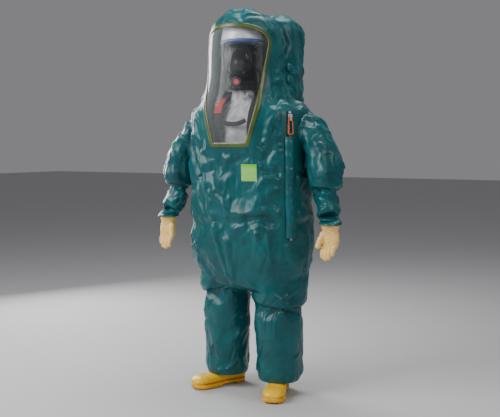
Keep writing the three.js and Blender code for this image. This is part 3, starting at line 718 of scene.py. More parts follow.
def woven_material(name, base, roughness=0.8, thread=900, bump=0.5, sheen=0.2):
    """Webbing or knitted cloth: two crossing sets of threads."""
    material, nodes, links = new_material(name)
    out = nodes.new("ShaderNodeOutputMaterial")
    out.label = "cloth"
    cloth = nodes.new("ShaderNodeBsdfPrincipled")
    cloth.label = "threads"
    cloth.inputs["Roughness"].default_value = roughness
    cloth.inputs["Sheen Weight"].default_value = sheen
    cloth.inputs["Sheen Roughness"].default_value = 0.5
    where = nodes.new("ShaderNodeTexCoord")
    where.label = "place on the cloth"
    warp = nodes.new("ShaderNodeTexWave")
    warp.label = "threads one way"
    warp.bands_direction = "X"
    warp.inputs["Scale"].default_value = thread
    warp.inputs["Distortion"].default_value = 0.4
    weft = nodes.new("ShaderNodeTexWave")
    weft.label = "threads the other way"
    weft.bands_direction = "Z"
    weft.inputs["Scale"].default_value = thread
    weft.inputs["Distortion"].default_value = 0.4
    cross = nodes.new("ShaderNodeMath")
    cross.operation = "MULTIPLY"
    cross.label = "crossing"
    fade = nodes.new("ShaderNodeTexNoise")
    fade.label = "worn patches"
    fade.inputs["Scale"].default_value = 30
    tint = nodes.new("ShaderNodeValToRGB")
    tint.label = "worn to full colour"
    tint.color_ramp.elements[0].color = (*[c * 0.72 for c in base], 1)
    tint.color_ramp.elements[1].color = (*[min(1, c * 1.15) for c in base], 1)
    tint.color_ramp.elements[0].position, tint.color_ramp.elements[1].position = 0.35, 0.65
    relief = nodes.new("ShaderNodeBump")
    relief.label = "thread relief"
    relief.inputs["Strength"].default_value = bump
    relief.inputs["Distance"].default_value = 0.0008
    links.new(where.outputs["Object"], warp.inputs["Vector"])
    links.new(where.outputs["Object"], weft.inputs["Vector"])
    links.new(where.outputs["Object"], fade.inputs["Vector"])
    links.new(warp.outputs["Fac"], cross.inputs[0])
    links.new(weft.outputs["Fac"], cross.inputs[1])
    links.new(cross.outputs["Value"], relief.inputs["Height"])
    links.new(fade.outputs["Fac"], tint.inputs["Fac"])
    links.new(tint.outputs["Color"], cloth.inputs["Base Color"])
    links.new(relief.outputs["Normal"], cloth.inputs["Normal"])
    links.new(cloth.outputs["BSDF"], out.inputs["Surface"])
    framed(nodes, "weave", [warp, weft, cross, relief])
    framed(nodes, "colour", [fade, tint])
    laid_out([[where], [warp, weft, fade], [cross, tint], [relief], [cloth], [out]])
    return material


def clear_material(name, tint, least, most, ripple=0.3):
    """Clear sheet: see-through ahead and glossy, with slow ripples; at a slant its pale tint hides more of
    what is behind it, a painted reflection.
    """
    material, nodes, links = new_material(name)
    out = nodes.new("ShaderNodeOutputMaterial")
    out.label = "clear sheet"
    film = nodes.new("ShaderNodeBsdfPrincipled")
    film.label = "polished film"
    film.inputs["Base Color"].default_value = (*tint, 1)
    film.inputs["Roughness"].default_value = 0.06
    film.inputs["Specular IOR Level"].default_value = 0.9
    film.inputs["Coat Weight"].default_value = 1.0
    film.inputs["Coat Roughness"].default_value = 0.03
    where = nodes.new("ShaderNodeTexCoord")
    where.label = "place on the sheet"
    stretch = nodes.new("ShaderNodeMapping")
    stretch.label = "ripples run up and down"
    stretch.inputs["Scale"].default_value = (9, 9, 2)
    waves = nodes.new("ShaderNodeTexNoise")
    waves.label = "slow ripples"
    waves.inputs["Scale"].default_value = 1.4
    relief = nodes.new("ShaderNodeBump")
    relief.label = "ripple relief"
    relief.inputs["Strength"].default_value = ripple
    relief.inputs["Distance"].default_value = 0.01
    # Painted reflection: the more slanted the view, the more the sheet's pale tint hides what is behind it,
    # on top of its real gloss.
    slant = nodes.new("ShaderNodeLayerWeight")
    slant.label = "more reflection at a slant"
    slant.inputs["Blend"].default_value = 0.2
    painted_reflection_alpha = nodes.new("ShaderNodeMapRange")
    painted_reflection_alpha.label = "how much the sheet hides"
    painted_reflection_alpha.inputs["To Min"].default_value = least
    painted_reflection_alpha.inputs["To Max"].default_value = most
    links.new(where.outputs["Object"], stretch.inputs["Vector"])
    links.new(stretch.outputs["Vector"], waves.inputs["Vector"])
    links.new(waves.outputs["Fac"], relief.inputs["Height"])
    links.new(relief.outputs["Normal"], film.inputs["Normal"])
    links.new(relief.outputs["Normal"], slant.inputs["Normal"])
    links.new(slant.outputs["Facing"], painted_reflection_alpha.inputs["Value"])
    links.new(painted_reflection_alpha.outputs["Result"], film.inputs["Alpha"])
    links.new(film.outputs["BSDF"], out.inputs["Surface"])
    framed(nodes, "ripples", [stretch, waves, relief])
    framed(nodes, "see-through", [slant, painted_reflection_alpha])
    laid_out([[where], [stretch], [waves], [relief], [slant], [painted_reflection_alpha], [film], [out]])
    return material


TEAL = laminate_material("teal_laminate", (0.0, 0.112, 0.122), (0.0, 0.062, 0.072), 0.33)
BORDER = moulded_material("olive_weld_tape", (0.075, 0.10, 0.016), 0.32, 0.2, 0.25, 90, coat=0.2)
# Each sheet's tint, shown more at a slant, is a painted reflection.
CLEAR = clear_material("clear_visor_sheet", (0.5, 0.55, 0.55), 0.015, 0.7)
LENS = clear_material("mask_lens_sheet", (0.15, 0.17, 0.18), 0.05, 0.45, ripple=0.0)
GLOVE = moulded_material("cream_latex", (0.95, 0.6, 0.18), 0.45, 0.1, 0.25, 220)
BOOT = moulded_material("yellow_boot_rubber", (0.95, 0.52, 0.004), 0.38, 0.1, 0.15, 150, coat=0.15)
SOLE = moulded_material("boot_sole_rubber", (0.85, 0.43, 0.006), 0.6, 0.2, 0.3, 120)
ORANGE = woven_material("orange_webbing_cloth", (0.85, 0.16, 0.02), 0.7)
TAPE_CLOTH = woven_material("dark_zip_tape", (0.008, 0.03, 0.03), 0.8)
STEEL = moulded_material("satin_steel", (0.55, 0.56, 0.58), 0.3, 0.05, 0.05, 300, metallic=1.0)
VALVE = moulded_material("valve_moulding", (0.003, 0.1, 0.11), 0.36, 0.1, 0.2)
BLACK = moulded_material("black_mask_rubber", (0.012, 0.012, 0.014), 0.38, 0.3, 0.2)
WHITE = moulded_material("white_helmet_shell", (0.78, 0.8, 0.83), 0.22, 0.03, 0.05, 120, coat=0.5)
BLUE = moulded_material("blue_brim_plastic", (0.03, 0.09, 0.36), 0.3, 0.1, 0.1, 120, coat=0.3)
RED = moulded_material("signal_red_plastic", (0.62, 0.05, 0.06), 0.35, 0.1, 0.1, coat=0.2)
GREY = woven_material("grey_liner_cloth", (0.52, 0.53, 0.56), 0.85, 500)
BLACK_CLOTH = woven_material("black_knitted_cloth", (0.01, 0.01, 0.012), 0.9, 420, sheen=0.05)
WEBBING = woven_material("black_harness_webbing", (0.016, 0.016, 0.02), 0.75, 700)
RED_WEBBING = woven_material("red_webbing_tab", (0.5, 0.02, 0.02), 0.7)
BOTTLE = moulded_material("dark_bottle_wrap", (0.05, 0.055, 0.06), 0.35, 0.2, 0.2, 60, coat=0.4)
BRASS = moulded_material("brass_fitting", (0.6, 0.42, 0.16), 0.32, 0.1, 0.05, 200, metallic=1.0)


def dressed(obj, material):
    obj.data.materials.clear()
    obj.data.materials.append(material)
    return obj


# ---- The suit's cloth ----
def middle_of(node):
    low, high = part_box(node)
    return (Vector(low) + Vector(high)) / 2


ZIP_AT = middle_of("zip_chain")
LABEL_AT = middle_of("chest_label")
VALVES_AT = [middle_of(f"valve_housing_{i}") for i in (1, 2, 3)]


def body_hold(co):
    """How firmly each point of the body is held while the cloth buckles: 1 is fixed."""
    near_window = 1 - smoothstep(0.015, 0.07, window_margin(co))
    hem = 1 - smoothstep(0.0, 0.03, co[:, 2] - HEM)
    hold = np.maximum(near_window, hem)
    for valve in VALVES_AT:
        far = np.linalg.norm(co - np.array(valve), axis=1)
        hold = np.maximum(hold, 1 - smoothstep(0.026, 0.055, far))
    beside_zip = np.hypot(co[:, 0] - ZIP_AT.x, co[:, 1] - ZIP_AT.y)
    along_zip = smoothstep(0.74, 0.77, co[:, 2]) * (1 - smoothstep(1.365, 1.39, co[:, 2]))
    hold = np.maximum(hold, (1 - smoothstep(0.034, 0.06, beside_zip)) * along_zip)
    patch = np.linalg.norm(co - np.array(LABEL_AT), axis=1)
    hold = np.maximum(hold, 0.85 * (1 - smoothstep(0.045, 0.075, patch)))
    arm = np.hypot(co[:, 1] - MIDDLE_Y, co[:, 2] - ARMHOLE_MIDDLE)
    armhole = (1 - smoothstep(0.012, 0.05, np.abs(arm - ARMHOLE_RADIUS))) * (np.abs(co[:, 0]) > 0.24)
    return np.clip(np.maximum(hold, armhole * 0.7), 0, 1)


def shaped_body(obj):
    """The large shapes of the worn suit: creased waist, slack seat, hollow beside the flap, full chest."""
    co, no = points_of(obj), normals_of(obj)
    x, y, z = co.T
    upright = 1 - np.abs(no[:, 2])
    front = smoothstep(-0.1, 0.5, -no[:, 1])
    left = smoothstep(-0.08, 0.14, x)
    wave = 0.010 * np.sin(x * 9 + 0.7) + 0.006 * np.sin(x * 23 + y * 9)
    depth = (0.0012 + 0.0125 * left * front) * upright
    waist = z - SEAT_TOP - wave
    lift = -depth * bump_at(waist, 0, 0.017) + 0.5 * depth * bump_at(waist, 0.036, 0.028)
    ledge = z - 1.072 - 0.4 * wave
    beside = front * smoothstep(0.12, 0.19, x) * upright
    lift += beside * (-0.010 * bump_at(ledge, 0.004, 0.011) + 0.006 * bump_at(ledge, -0.022, 0.02))
    lift -= beside * 0.010 * bump_at(z, 1.17, 0.08) * bump_at(x, 0.21, 0.05)
    lift += 0.012 * bump_at(z, 1.04, 0.16) * smoothstep(0.3, 0.9, -no[:, 0]) * front
    lift += 0.010 * bump_at(z, 0.66, 0.07) * smoothstep(0.1, 0.8, -no[:, 0]) * upright
    lift *= smoothstep(0.0, 0.05, window_margin(co)) * (1 - 0.9 * body_hold(co))
    set_points(obj, co + no * lift[:, None])


def suit_body():
    body = joined("suit_skin", [loft(TRUNK), loft(HOOD), loft(HUMP), loft(leg_rings(1)), loft(leg_rings(-1))])
    remeshed(body, CELL, 10)
    return smooth_shaded(body)


def body_cloth(body):
    """The body's cloth with its folds, still in one piece."""
    rng = np.random.default_rng(SEED)
    shaped_body(body)
    hold = body_hold(points_of(body))
    slackened(body, hold, growth=-0.05, cap=0.02, start=0.005, waves=(0.09, 0.24), upright=0.35)
    subdivided(body)
    co, no = points_of(body), normals_of(body)
    free = 1 - body_hold(co)
    x, y, z = co.T
    upright = 1 - np.abs(no[:, 2])
    trunk = (z > 0.56) & (z < 1.36) & (upright > 0.6)
    chest = free * trunk * (no[:, 1] < -0.1)
    waist = free * (np.abs(z - 0.85) < 0.06) * upright * (x > -0.05)
    thighs = free * (z > 0.44) * (z < 0.66) * upright
    knees = free * (z < 0.46) * (z > 0.1)
    legs = free * (z < 0.5) * (z > 0.1)
    crown = free * (z > 1.75)
    hump = free * (z > 1.45) * (y > -0.02)
    behind = free * (z > 1.42) * (y > -0.08)
    yoke = free * (z > 1.32) * (z < 1.5)
    # Each row: where, how many, the way they run, how far they stray from it, length, width, height.
    rows = [
        # Long diagonal folds from the wearer's right armhole towards the belly, and others round the trunk.
        (chest * (x < 0.0), 30, (0.5, 0, -1), 0.22, (0.2, 0.46), (0.014, 0.030), (0.005, 0.010)),
        (chest * (x > -0.05), 22, (-0.3, 0, -1), 0.4, (0.14, 0.34), (0.014, 0.03), (0.003, 0.006)),
        (free * trunk, 46, (0, 0, 1), 0.45, (0.12, 0.36), (0.016, 0.034), (0.003, 0.006)),
        (free * trunk, 40, (0, 0, 1), 0.9, (0.06, 0.18), (0.008, 0.016), (0.001, 0.0025)),
        # Creases across the waist, and across the thighs.
        (waist, 24, (1, 0.3, 0), 0.3, (0.08, 0.24), (0.010, 0.020), (0.002, 0.005)),
        (thighs, 60, (1, 0.2, 0.35), 0.45, (0.07, 0.22), (0.008, 0.02), (0.003, 0.008)),
        # Slanting creases that meet at the knees, and small ones down to the hems.
        (knees, 60, (0.8, 0.3, 0.7), 0.5, (0.08, 0.2), (0.012, 0.026), (0.003, 0.008)),
        (legs, 120, (0.7, 0.2, 0.8), 0.9, (0.04, 0.13), (0.006, 0.012), (0.001, 0.004)),
        # The crown is gathered from front to back, and the hump hangs in slanting folds.
        (crown, 50, (0.3, 1, 0), 0.7, (0.05, 0.14), (0.008, 0.018), (0.003, 0.009)),
        (hump, 40, (0, -0.7, 1), 0.35, (0.12, 0.32), (0.014, 0.03), (0.004, 0.009)),
        (behind, 70, (0, -0.5, 1), 0.8, (0.05, 0.15), (0.008, 0.016), (0.001, 0.003)),
        # Gathers round the yoke.
        (yoke, 36, (1, 0.3, 0.4), 0.6, (0.07, 0.18), (0.01, 0.022), (0.002, 0.006)),
    ]
    for row in rows:
        add_folds(body, rng, *row)
    crumpled(body, rng, free, [(0.16, 0.005)])
    return trimmed(body, HEM)


def dips_limited(obj, tree, deepest):
    """Eases every dip so that none goes deeper than a limit below the surface in the tree."""
    co = points_of(obj)
    for i, p in enumerate(co):
        near, normal, _, _ = tree.find_nearest(Vector(p))
        depth = (near - Vector(p)).dot(normal)
        if depth > 0:
            co[i] = p + np.array(normal) * (depth - deepest * math.tanh(depth / deepest))
    set_points(obj, co)
    return obj


def tree_of(obj):
    bpy.context.view_layer.update()
    return BVHTree.FromObject(obj, bpy.context.evaluated_depsgraph_get())


def sleeve_cloth(side):
    """A whole sleeve, from inside the armhole to the cuff."""
    rng = np.random.default_rng(SEED + (1 if side == "left" else 2))
    arm = joined(f"sleeve_skin_{side}", [loft(sleeve_rings()), loft(forearm_rings())])
    if side == "right":
        co = points_of(arm)
        co[:, 0] *= -1
        set_points(arm, co)
        tidy_normals(arm)
    remeshed(arm, SLEEVE_CELL, 5)
    smooth = tree_of(arm)
    co = points_of(arm)
    root = 1 - smoothstep(0.275, 0.31, np.abs(co[:, 0]))
    cuff = 1 - smoothstep(0.86, 0.885, co[:, 2])
    slackened(arm, np.maximum(root, cuff), growth=-0.07, cap=0.014, start=0.004, waves=(0.05, 0.14), keep=0.4)
    subdivided(arm)
    co = points_of(arm)
    free = np.minimum(smoothstep(0.285, 0.32, np.abs(co[:, 0])), smoothstep(0.862, 0.9, co[:, 2]))
    upper = (co[:, 2] > 1.03) * free
    lower = (co[:, 2] < 1.01) * free
    for row in (
        (upper, 26, (0.6, 0, -1), 0.5, (0.1, 0.22), (0.014, 0.026), (0.004, 0.009)),
        (upper, 60, (0.5, 0, -1), 0.9, (0.04, 0.13), (0.006, 0.013), (0.002, 0.005)),
        (lower, 22, (1, 0.4, 0.5), 0.5, (0.06, 0.13), (0.010, 0.018), (0.003, 0.006)),
        (lower, 26, (1, 0.4, 0.3), 0.9, (0.03, 0.09), (0.006, 0.011), (0.001, 0.003)),
    ):
        add_folds(arm, rng, *row)
    crumpled(arm, rng, free, [(0.10, 0.004)])
    return smooth_shaded(trimmed(dips_limited(arm, smooth, 0.0035), CUFF))


def ridden(piece, body, slot, *stands_for):
    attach(piece, body)
    if stands_for:
        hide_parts(*stands_for)
    return piece


def cloth_piece(whole, name, keep, body, stands_for):
    """One panel of the cloth with its wall. It rides on a body given by name; given anything else, its place
    is only baked into its mesh.
    """
    piece = part_of(whole, name, keep)
    solidified(piece, WALL)
    smooth_shaded(dressed(piece, TEAL))
    if isinstance(body, str):
        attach(piece, body)
    else:
        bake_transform(piece)
    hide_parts(*stands_for)
    return piece


def joint_place(name):
    return Vector(JOINTS[name]["pos_m"])


def body_panels(cloth):
    """The body's cloth, cut at its seams."""
    centres = face_centres(cloth)
    x, y, z = centres.T
    shown = window_margin(centres) > 0.0
    leg = np.where(x > 0, z < LEG_CUT["left"], z < LEG_CUT["right"])
    hood = (z >= YOKE) & (y < HOOD_BACK + MIDDLE_Y)
    low_hump = (y > HUMP_FRONT + MIDDLE_Y) & (np.abs(x) < 0.19) & (z > HUMP_BOTTOM) & (z < YOKE)
    hump = ((z >= YOKE) & ~hood) | low_hump
    seat = (z < SEAT_TOP) & ~leg & ~hump
    trunk = ~(leg | hood | hump | seat)
    cloth_piece(cloth, "hood_cloth", shown & hood, "suit", ["hood_panel"])
    cloth_piece(cloth, "hump_cloth", shown & hump, "suit", ["hump_panel"])
    cloth_piece(cloth, "trunk_cloth", shown & trunk, "suit", ["front_panel", "back_panel"])
    cloth_piece(cloth, "seat_cloth", shown & seat, "suit", ["seat_left", "seat_right"])
    for side, sign in SIDES:
        knee = joint_place(f"knee_{side}")
        start = Vector((knee.x, knee.y, LEG_CUT[side]))
        end = Vector((knee.x, knee.y, knee.z - 0.12))
        cloth_piece(cloth, f"leg_cloth_{side}", shown & leg & (x * sign > 0),
                    ("suit", f"shin_{side}", start, end), [f"lower_leg_{side}"])


def sleeve_panels(sleeve, side):
    """A sleeve's cloth, cut inside the bell's rim."""
    x, _, z = face_centres(sleeve).T
    outside = np.abs(x) > 0.262
    upper = z > SLEEVE_CUT
    elbow = joint_place(f"elbow_{side}")
    start = Vector((elbow.x, elbow.y, BELL_RIM))
    end = Vector((elbow.x, elbow.y - 0.01, elbow.z - 0.05))
    cloth_piece(sleeve, f"upper_sleeve_cloth_{side}", outside & upper, f"upper_arm_{side}",
                [f"upper_sleeve_{side}"])
    bend = (f"upper_arm_{side}", f"forearm_{side}", start, end)
    cloth_piece(sleeve, f"forearm_cloth_{side}", outside & ~upper, bend,
                [f"forearm_sleeve_{side}"])


smooth_skin = suit_body()
skin_tree = tree_of(smooth_skin)
cloth = body_cloth(smooth_skin)
cloth_tree = tree_of(cloth)
body_panels(cloth)
sleeve_trees = {}
for side, _ in SIDES:
    sleeve = sleeve_cloth(side)
    sleeve_trees[side] = tree_of(sleeve)
    sleeve_panels(sleeve, side)
    bpy.data.objects.remove(sleeve)


# ---- Window and its border ----
def front_point(angle, z, out=0.0):
    """A point over the smooth cloth, at an angle round the window's axis."""
    origin = Vector((0, WINDOW_AXIS_Y, z))
    direction = Vector((math.sin(angle), -math.cos(angle), 0))
    hit, normal, _, _ = skin_tree.ray_cast(origin + direction * 0.6, -direction)
    if normal.dot(direction) < 0:
        normal = -normal
    return hit + normal * out


def facing(obj, direction):
    """Flips the object's faces if most of them look away from a direction, given at each face's centre."""
    normals = np.empty(len(obj.data.polygons) * 3)
    obj.data.polygons.foreach_get("normal", normals)
    if (normals.reshape(-1, 3) * direction(face_centres(obj))).sum() < 0:
        obj.data.flip_normals()
    return obj


def away_from(point):
    return lambda centres: centres - np.array(point)


def window_sheet():
    """The clear sheet, tucked a little under the border all round."""
    across, up = 48, 72
    tuck = 0.03  # radians either side
    low, high = WINDOW_BOTTOM - 0.008, WINDOW_TOP + 0.006
    grid = np.zeros((up + 1, across + 1, 3))
    for j in range(up + 1):
        z = low + (high - low) * math.sin(j / up * math.pi / 2)
        inside = min(max(z, WINDOW_BOTTOM), WINDOW_TOP - 0.0003)
        half = float(window_half_angle(inside)) + tuck
        for i in range(across + 1):
            grid[j, i] = front_point(half * (2 * i / across - 1), z, 0.0004)
    for _ in range(6):
        grid[1:-1, 1:-1] = (grid[1:-1, 1:-1] * 2 + grid[:-2, 1:-1] + grid[2:, 1:-1] + grid[1:-1, :-2]
                            + grid[1:-1, 2:]) / 6
    sheet = tidy_normals(object_from("visor_sheet", grid.reshape(-1, 3), grid_faces(across, up)))
    facing(sheet, away_from((0, 0, 1.5)))
    solidified(sheet, 0.0012)
    return smooth_shaded(dressed(sheet, CLEAR))


def window_outline(steps=220):
    """Places round the window's edge as (angle, height)."""
    low, high = WINDOW_BOTTOM, WINDOW_TOP
    heights = [low + (high - low) * math.sin(k / steps * math.pi / 2) for k in range(steps + 1)]
    right = [(float(window_half_angle(min(z, high - 1e-6))), z) for z in heights]
    left = [(-a, z) for a, z in reversed(right[:-1])]
    a = right[0][0]
    bottom = [(-a + 2 * a * k / 40, low) for k in range(1, 40)]
    return right + left + bottom


def even_loop(points, count):
    """The same closed loop with evenly spaced points."""
    closed = np.array([*points, points[0]])
    far = np.concatenate([[0], np.cumsum(np.linalg.norm(np.diff(closed, axis=0), axis=1))])
    at = np.linspace(0, far[-1], count, endpoint=False)
    return np.stack([np.interp(at, far, closed[:, k]) for k in range(3)], 1)


def band_on(tree, name, line, half_width, rise, thickness, closed=True, across=8):
    """A flat band of tape that follows a line on a surface, with rounded edges."""
    n = len(line)
    vertices, faces = [], []
    for k in range(n):
        p = Vector(line[k])
        before = line[(k - 1) % n] if closed or k else line[k]
        after = line[(k + 1) % n] if closed or k < n - 1 else line[k]
        along = (Vector(after) - Vector(before)).normalized()
        _, normal, _, _ = tree.find_nearest(p)
        sideways = along.cross(normal).normalized()
        for i in range(across + 1):
            u = 2 * i / across - 1
            near, out, _, _ = tree.find_nearest(p + sideways * (u * half_width))
            vertices.append(near + out * (rise + thickness * (1 - abs(u) ** 6)))
    w = across + 1
    for k in range(n if closed else n - 1):
        for i in range(across):
            a, b = k * w + i, ((k + 1) % n) * w + i
            faces.append((a, a + 1, b + 1, b))
    band = object_from(name, vertices, faces)
    if band.data.polygons[0].normal.dot(tree.find_nearest(Vector(line[0]))[1]) < 0:
        band.data.flip_normals()
    solidified(band, max(rise, 0.0005) + 0.0006)
    return smooth_shaded(band)


window = ridden(window_sheet(), "suit", "clear_sheet", "visor_window")
edge = even_loop([front_point(angle, z) for angle, z in window_outline()], 300)
border = dressed(band_on(skin_tree, "visor_border_tape", edge, 0.010, 0.0008, 0.0015), BORDER)
ridden(border, "suit", "seam_tape", "visor_border")


# ---- Welded seam tapes, each over a join of the cloth ----
def yoke_line(count=260):
    """Places on the cloth at the yoke's height, from one side of the window round the back to the other."""
    axis = Vector((0, WINDOW_AXIS_Y, YOKE))
    first = float(window_half_angle(YOKE)) + 0.02
    last = 2 * math.pi - first
    line = []
    for k in range(count):
        turn = first + (last - first) * k / (count - 1)
        direction = Vector((math.sin(turn), -math.cos(turn), 0))
        line.append(cloth_tree.ray_cast(axis + direction * 0.7, -direction)[0])
    return line


def armhole_line(tree, sign, count=110):
    """Places on the sleeve's cloth all round the armhole."""
    line = []
    for turn in np.linspace(0, 2 * math.pi, count, endpoint=False):
        y = MIDDLE_Y + ARMHOLE_RADIUS * math.cos(turn)
        z = ARMHOLE_MIDDLE + ARMHOLE_RADIUS * math.sin(turn)
        line.append(tree.find_nearest(Vector((sign * 0.306, y, z)))[0])
    return line


def seam_tape(tree, name, line, body, half_width, closed):
    tape = dressed(band_on(tree, name, line, half_width, 0.0009, 0.0006, closed), TEAL)
    return ridden(tape, body, "laminate")


seam_tape(cloth_tree, "yoke_seam_tape", yoke_line(), "suit", 0.010, closed=False)
for side, sign in SIDES:
    line = armhole_line(sleeve_trees[side], sign)
    seam_tape(sleeve_trees[side], f"armhole_tape_{side}", line, f"upper_arm_{side}", 0.009, closed=True)


# ---- The label on the chest ----
def patch_on(tree, name, centre, size, rise, thickness, steps=14):
    """A square patch that lies on a surface, with a flat map over it."""
    middle, normal, _, _ = tree.find_nearest(Vector(centre))
    across = Vector((0, 0, 1)).cross(normal).normalized()
    up = normal.cross(across)
    vertices, flat = [], []
    for j in range(steps + 1):
        for i in range(steps + 1):
            u, v = i / steps - 0.5, j / steps - 0.5
            near = tree.find_nearest(middle + across * (u * size) + up * (v * size))[0]
            vertices.append(near + normal * (rise + thickness))
            flat.append((u + 0.5, v + 0.5))
    patch = object_from(name, vertices, grid_faces(steps, steps))
    layer = patch.data.uv_layers.new(name="flat")
    for loop in patch.data.loops:
        layer.data[loop.index].uv = flat[loop.vertex_index]
    if patch.data.polygons[0].normal.dot(normal) < 0:
        patch.data.flip_normals()
    solidified(patch, thickness + rise)
    return smooth_shaded(patch)


def label_material():
    """Printed patch: green ground, a pale panel and rows of pale strokes that say nothing."""
    material, nodes, links = new_material("printed_patch")
    out = nodes.new("ShaderNodeOutputMaterial")
    out.label = "label"
    film = nodes.new("ShaderNodeBsdfPrincipled")
    film.label = "printed film"
    film.inputs["Roughness"].default_value = 0.38
    film.inputs["Coat Weight"].default_value = 0.3
    where = nodes.new("ShaderNodeUVMap")
    where.uv_map = "flat"
    where.label = "flat map of the patch"
    rows = nodes.new("ShaderNodeTexBrick")
    rows.label = "rows of strokes"
    rows.inputs["Scale"].default_value = 7
    rows.inputs["Mortar Size"].default_value = 0.07
    rows.inputs["Brick Width"].default_value = 0.9
    rows.inputs["Row Height"].default_value = 0.5
    rows.inputs["Color1"].default_value = (0.10, 0.50, 0.01, 1)
    rows.inputs["Color2"].default_value = (0.09, 0.45, 0.01, 1)
    rows.inputs["Mortar"].default_value = (0.6, 0.9, 0.35, 1)
    split = nodes.new("ShaderNodeSeparateXYZ")
    split.label = "across and up"
    panel = nodes.new("ShaderNodeMath")
    panel.operation = "GREATER_THAN"
    panel.inputs[1].default_value = 0.82
    panel.label = "top strip"
    ground = nodes.new("ShaderNodeMix")
    ground.data_type = "RGBA"
    ground.label = "strip over strokes"
    ground.inputs["B"].default_value = (0.16, 0.60, 0.02, 1)
    links.new(where.outputs["UV"], rows.inputs["Vector"])
    links.new(where.outputs["UV"], split.inputs["Vector"])
    links.new(split.outputs["Y"], panel.inputs[0])
    links.new(panel.outputs["Value"], ground.inputs["Factor"])
    links.new(rows.outputs["Color"], ground.inputs["A"])
    links.new(ground.outputs["Result"], film.inputs["Base Color"])
    links.new(film.outputs["BSDF"], out.inputs["Surface"])
    framed(nodes, "print", [rows, split, panel, ground])
    laid_out([[where], [rows, split], [panel], [ground], [film], [out]])
    return material


label = dressed(patch_on(cloth_tree, "chest_label_patch", LABEL_AT, 0.078, 0.0008, 0.0008), label_material())
ridden(label, "suit", "label_print", "chest_label")


# ---- Small soft pieces taken over from their plain solids ----
def softened(node, name, voxel, smoothing=4):
    """A rounded copy of a CAD node's shape."""
    source = frame["nodes"][node]
    copy = bpy.data.objects.new(name, source.data.copy())
    copy.data.transform(source.matrix_world)
    bpy.context.scene.collection.objects.link(copy)
    tidy_normals(copy)
    return smooth_shaded(remeshed(copy, voxel, smoothing))


FLAP_OUT = np.array([math.sin(0.87), -math.cos(0.87), 0])  # the way the flap faces
FLAP_ASIDE = np.array([-math.cos(0.87), -math.sin(0.87), 0])


def flap_cloth():
    """The storm flap, buckled outwards along its length and wandering a little sideways."""
    flap = softened("storm_flap", "storm_flap_cloth", 0.0014, 5)
    co, no = points_of(flap), normals_of(flap)
    rng = np.random.default_rng(SEED)
    long_buckles = slow_waves(co * (0.3, 0.3, 1), rng, 0.05, 0.16, 1, 8) * 0.0028
    ripples = slow_waves(co, rng, 0.02, 0.05, 1, 6) * 0.0006
    wander = slow_waves(co * (0.1, 0.1, 1), rng, 0.09, 0.3, 1, 6) * 0.0026
    z = co[:, 2]
    ends = smoothstep(0, 0.02, z - z.min()) * smoothstep(0, 0.02, z.max() - z)
    outer = smoothstep(-0.2, 0.6, no @ FLAP_OUT)
    out = np.abs(long_buckles + ripples) * ends * outer
    set_points(flap, co + FLAP_OUT * out[:, None] + FLAP_ASIDE * (wander * ends)[:, None])
    ridden(dressed(flap, TEAL), "flap", "laminate", "storm_flap")


def puller_loop():
    """The zip's pull loop, wider towards its end."""
    puller = softened("zip_puller", "zip_puller_loop", 0.0009, 6)
    co = points_of(puller)
    z = co[:, 2]
    wider = ((co - co.mean(0)) @ FLAP_ASIDE) * 0.3 * smoothstep(0.012, 0.035, z.max() - z)
    set_points(puller, co + FLAP_ASIDE * wider[:, None])
    ridden(dressed(puller, ORANGE), "puller", "orange_webbing", "zip_puller")


flap_cloth()
puller_loop()


